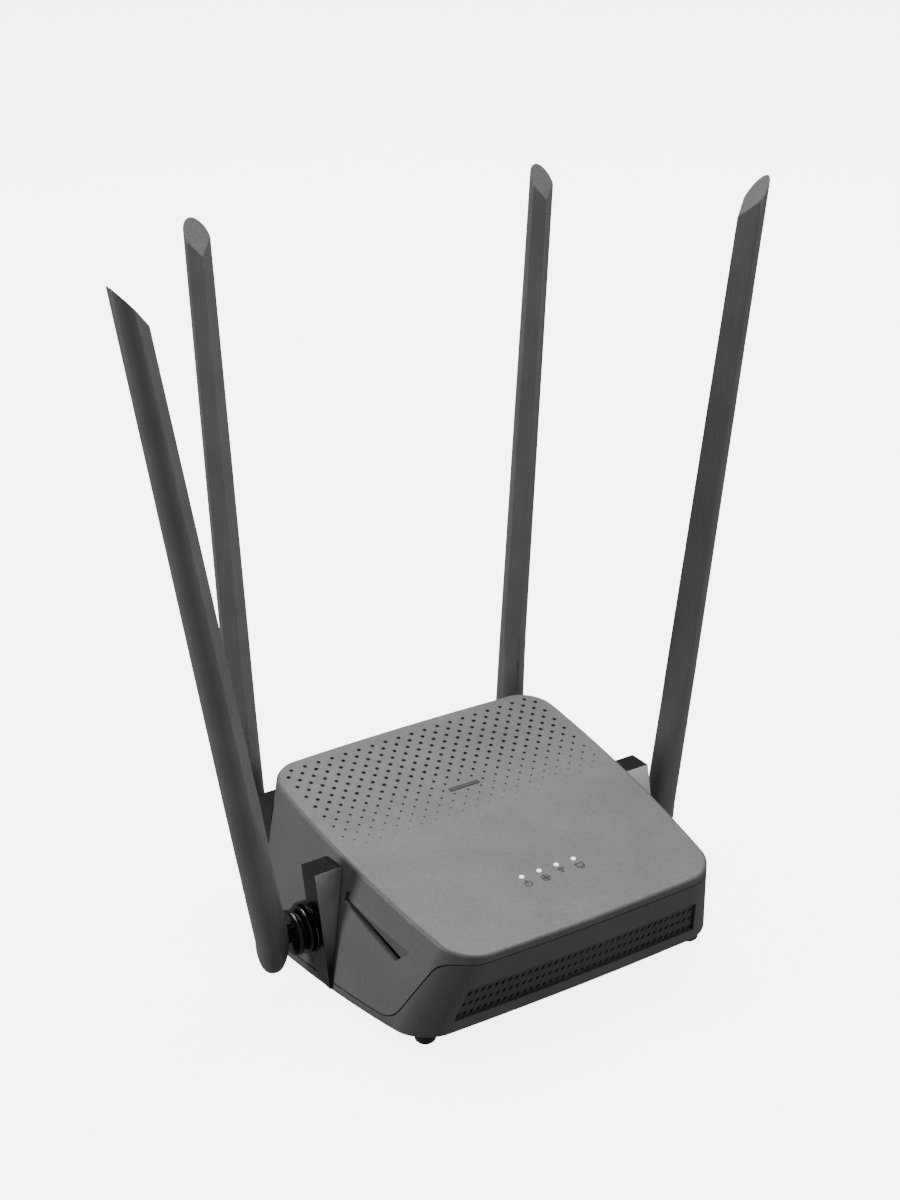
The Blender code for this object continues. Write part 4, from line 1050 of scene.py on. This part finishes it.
def disc_profile(start, end, radius, rim):
    """Profile of a disc with rounded rims, from its inner face to its outer one."""
    outer = rim_points(end, radius, rim)
    return [(start + end - x, r) for x, r in reversed(outer)] + outer


def mark_painted_reflection_faces(piece, facing):
    """Marks the faces that point one way, for the painted reflection that their material lays on them."""
    marks = piece.data.attributes.new("facet", "FLOAT", "FACE")
    facing = Vector(facing)
    for face in piece.data.polygons:
        marks.data[face.index].value = float(face.normal.dot(facing) > 0.9)


class RouterHinges(bpy.types.Operator):
    """Mounts, and the stacks of discs that the antennas turn on"""

    bl_idname = "router.hinges"
    bl_label = "Mounts and hinges"

    def execute(self, context):
        for antenna in ANTENNAS:
            fixed, turned = axis_frames(antenna)
            mount = refined(f"{antenna}_mount", f"{antenna}_bracket", 0.0005, 4, 50)
            # the forward faces are marked for the bracket material's painted reflection
            mark_painted_reflection_faces(mount, (0, -1, 0))
            finish_piece(mount, CASE, look("bracket"), "gloss", f"{antenna}_mount")
            start, end, radius = span_along(f"{antenna}_collar", fixed)
            ring = lathe(f"{antenna}_ring", disc_profile(start, end, radius, 0.0007))
            carve(ring, rod("tool_bore", 0.0032, "X", (0, 0), start - 0.001, end + 0.001))
            ring.data.transform(fixed)
            finish_piece(smooth(ring), CASE, look("gloss"), "gloss", f"{antenna}_collar")
            dress(f"{antenna}_washer", look("black"))
            start, end, radius = span_along(f"{antenna}_hub", turned)
            washer_end = span_along(f"{antenna}_washer", fixed)[1]
            disc_end = end - SPIGOT_LENGTH
            profile = [(start, STEM_RADIUS), (washer_end + GAP, STEM_RADIUS)]
            profile += disc_profile(washer_end + GAP, disc_end, radius, 0.0008)
            profile += [(disc_end, SPIGOT_RADIUS), (end, SPIGOT_RADIUS)]
            hub = lathe(f"{antenna}_disc", profile)
            hub.data.transform(turned)
            finish_piece(smooth(hub), f"{antenna}_antenna", look("gloss"), "gloss", f"{antenna}_hub")
            dress(f"{antenna}_clip", look("steel"))
        return {"FINISHED"}


BLADE_WIDTH = 0.0098
BLADE_THICKNESS = 0.0110
BLADE_BELOW = 0.0115
BLADE_ABOVE = 0.2170
BLADE_ROUND_END = 0.0500
BLADE_TIP_SHARE = 0.84
CREASE_OFFSET = 0.30
FACET_EDGE = 0.96
FACET_RISE = 0.88
TIP_CUT = math.radians(48)


def blade_section(width, thickness, facets, crease):
    """Round outside and, as facets goes from 0 to 1, two flats meeting in a crease inside."""
    loop = []
    for turn in np.linspace(-math.pi / 2, math.pi / 2, 17):
        loop.append((thickness / 2 * math.cos(turn), width / 2 * math.sin(turn)))
    half = (FACET_EDGE, 0.87, 0.75, 0.6, 0.4, 0.2, 0.07)
    shares = [*half, 0.0, *(-share for share in reversed(half))]
    for share in shares:
        moved = share + crease * (1 - abs(share)) * facets
        side = math.copysign(1, moved - crease)
        reach = abs(moved - crease) / (1 - crease * side)
        flat = -1 + FACET_RISE * reach
        rounded = -math.sqrt(1 - share**2)
        level = rounded * (1 - facets) + max(flat, rounded) * facets
        loop.append((thickness / 2 * level, width / 2 * moved))
    return loop


def blade_solid(name, cant, centre):
    """One antenna blade about its hinge, with a round root and a slanted flat tip."""
    rings = []
    for angle in np.linspace(math.radians(8), math.pi / 2, 10):
        depth, share = -math.cos(angle), math.sin(angle)
        rings.append((BLADE_BELOW * depth, 0.22 + 0.78 * share, 0.0))
    for share in (0.12, 0.24, 0.36, 0.48, 0.60, 0.72, 0.84, 0.92, 1.0):
        rings.append((BLADE_ROUND_END * share, 1.0, max(0.0, (share - 0.2) / 0.8) ** 1.5))
    for share in np.linspace(0, 1, 13)[1:]:
        z = BLADE_ROUND_END + (BLADE_ABOVE - BLADE_ROUND_END) * share
        rings.append((z, 1.0 - (1.0 - BLADE_TIP_SHARE) * share, 1.0))
    loops = []
    for z, share, facets in rings:
        section = blade_section(BLADE_WIDTH * share, BLADE_THICKNESS * share, facets, CREASE_OFFSET)
        lean = centre + math.tan(cant) * max(z, 0.0)
        loops.append([(lean + out, across, z) for out, across in section])
    blade = ring_solid(name, loops)
    tip_x = centre + math.tan(cant) * BLADE_ABOVE + BLADE_THICKNESS * BLADE_TIP_SHARE / 2
    bpy.ops.object.mode_set(mode="EDIT")
    bpy.ops.mesh.select_all(action="SELECT")
    normal = (-math.sin(TIP_CUT), 0, math.cos(TIP_CUT))
    bpy.ops.mesh.bisect(plane_co=(tip_x, 0, BLADE_ABOVE), plane_no=normal, use_fill=True, clear_outer=True)
    bpy.ops.mesh.region_to_loop()
    bpy.ops.mesh.bevel(offset=0.0003, segments=3)
    bpy.ops.object.mode_set(mode="OBJECT")
    return blade


class RouterBlades(bpy.types.Operator):
    """Four antenna blades"""

    bl_idname = "router.blades"
    bl_label = "Antenna blades"

    def execute(self, context):
        for antenna, (_, _, cant) in ANTENNAS.items():
            _, turned = axis_frames(antenna)
            inner = span_along(f"{antenna}_blade", turned)[0]
            blade = blade_solid(f"{antenna}_antenna_blade", cant, inner + BLADE_THICKNESS / 2)
            blade.data.transform(turned)
            smooth(blade, 20)
            finish_piece(blade, f"{antenna}_antenna", look("blade"), "blade", f"{antenna}_blade")
        return {"FINISHED"}


class RouterFeet(bpy.types.Operator):
    """Rubber feet and case screws"""

    bl_idname = "router.feet"
    bl_label = "Feet and screws"

    def execute(self, context):
        for place in ("fl", "fr", "rl", "rr"):
            foot = refined(f"foot_{place}", f"rubber_foot_{place}", 0.0003, 3)
            finish_piece(foot, CASE, look("rubber"), "rubber", f"foot_{place}")
            dress(f"case_screw_{place}", look("steel"))
        return {"FINISHED"}


class RouterInside(bpy.types.Operator):
    """Circuit board and what stands on it"""

    bl_idname = "router.inside"
    bl_label = "Inside"

    def execute(self, context):
        looks = {
            "main_board": "board",
            "switch_board": "board",
            "rf_shield": "steel",
            "heat_sink": "alloy",
            "line_transformer": "black",
            "capacitor": "sleeve",
            "power_switch": "black",
            "wps_switch": "black",
            "reset_switch": "black",
        }
        for node, finish in looks.items():
            dress(node, look(finish))
        return {"FINISHED"}


# --- Studio -----------------------------------------------------------------------------------
CAMERA_PLACE = Vector((-0.35519, -0.50497, 0.39604))
CAMERA_AIM = Vector((-0.06153, -0.05844, 0.15481))
CAMERA_LENS = 65.4
CAMERA_SHIFT = (0.0120, 0.0006)
WORLD_LIGHT = 0.20
WORLD_SEEN = 5.5  # what the camera sees past the floor's edge, as bright as the floor


def soft_light(name, place, aim, size, power):
    bpy.ops.object.light_add(type="AREA", location=place)
    lamp = bpy.context.active_object
    lamp.name = name
    lamp.data.shape = "RECTANGLE"
    lamp.data.size, lamp.data.size_y = size
    lamp.data.energy = power
    lamp.rotation_euler = (Vector(aim) - Vector(place)).to_track_quat("-Z", "Y").to_euler()


class RouterStage(bpy.types.Operator):
    """Pale floor, soft lights and the camera"""

    bl_idname = "router.stage"
    bl_label = "Studio"

    def execute(self, context):
        bpy.ops.mesh.primitive_plane_add(size=60, location=(0, 0, -0.0002))
        floor = added("floor")
        made = Finish("pale_floor", 0.9, Emission_Strength=6.0)
        cloud = made.noise(0.9, 1.0)
        hue = context.scene.router_colours.floor
        tint = made.mix(cloud, shade(hue, 0.99), shade(hue, 1.01))
        made.feed("Base Color", tint)
        made.feed("Emission Color", tint)
        floor.data.materials.append(made.material)
        floor.visible_diffuse = False
        floor.visible_glossy = False
        world = bpy.data.worlds.new("studio")
        world.use_nodes = True
        backdrop = world.node_tree.nodes["Background"]
        backdrop.inputs["Color"].default_value = (1.0, 1.0, 1.0, 1.0)
        rays = world.node_tree.nodes.new("ShaderNodeLightPath")
        strength = world.node_tree.nodes.new("ShaderNodeMapRange")
        strength.inputs["To Min"].default_value = WORLD_LIGHT
        strength.inputs["To Max"].default_value = WORLD_SEEN
        world.node_tree.links.new(rays.outputs["Is Camera Ray"], strength.inputs["Value"])
        world.node_tree.links.new(strength.outputs["Result"], backdrop.inputs["Strength"])
        context.scene.world = world
        soft_light("overhead", (0.35, 0.45, 1.5), (0.0, 0.0, 0.05), (1.4, 1.4), 40.0)
        soft_light("left_strip", (-1.3, 0.5, 0.30), (0.0, 0.0, 0.12), (0.14, 1.4), 16.0)
        soft_light("front_strip", (0.9, -1.1, 0.45), (0.0, 0.0, 0.12), (0.30, 0.9), 6.0)
        bpy.ops.object.camera_add(location=CAMERA_PLACE + SHIFT)
        camera = context.active_object
        camera.rotation_mode = "QUATERNION"
        camera.rotation_quaternion = (CAMERA_AIM - CAMERA_PLACE).to_track_quat("-Z", "Y")
        camera.data.lens = CAMERA_LENS
        camera.data.sensor_width = 36.0
        camera.data.shift_x, camera.data.shift_y = CAMERA_SHIFT
        camera.data.clip_start = 0.01
        context.scene.camera = camera
        return {"FINISHED"}


OPERATORS = (
    RouterStage,
    RouterCover,
    RouterBase,
    RouterGrille,
    RouterPanel,
    RouterButtons,
    RouterLights,
    RouterHinges,
    RouterBlades,
    RouterFeet,
    RouterInside,
)


class RouterSidebar(bpy.types.Panel):
    """Lists the router's pieces in the sidebar"""

    bl_idname = "VIEW3D_PT_router"
    bl_label = "Wireless router"
    bl_space_type = "VIEW_3D"
    bl_region_type = "UI"
    bl_category = "Router"

    def draw(self, context):
        for settings in (context.scene.router_sizes, context.scene.router_colours):
            for name in settings.__annotations__:
                self.layout.prop(settings, name)
        for operator in OPERATORS:
            self.layout.operator(operator.bl_idname)


CLASSES = (RouterSizes, RouterColours, *OPERATORS, RouterSidebar)


def register():
    for item in CLASSES:
        bpy.utils.register_class(item)
    bpy.types.Scene.router_sizes = PointerProperty(type=RouterSizes)
    bpy.types.Scene.router_colours = PointerProperty(type=RouterColours)


def unregister():
    del bpy.types.Scene.router_colours
    del bpy.types.Scene.router_sizes
    for item in reversed(CLASSES):
        bpy.utils.unregister_class(item)


def main():
    register()
    for operator in OPERATORS:
        getattr(bpy.ops.router, operator.bl_idname.split(".")[1])()


if __name__ == "__main__":
    main()
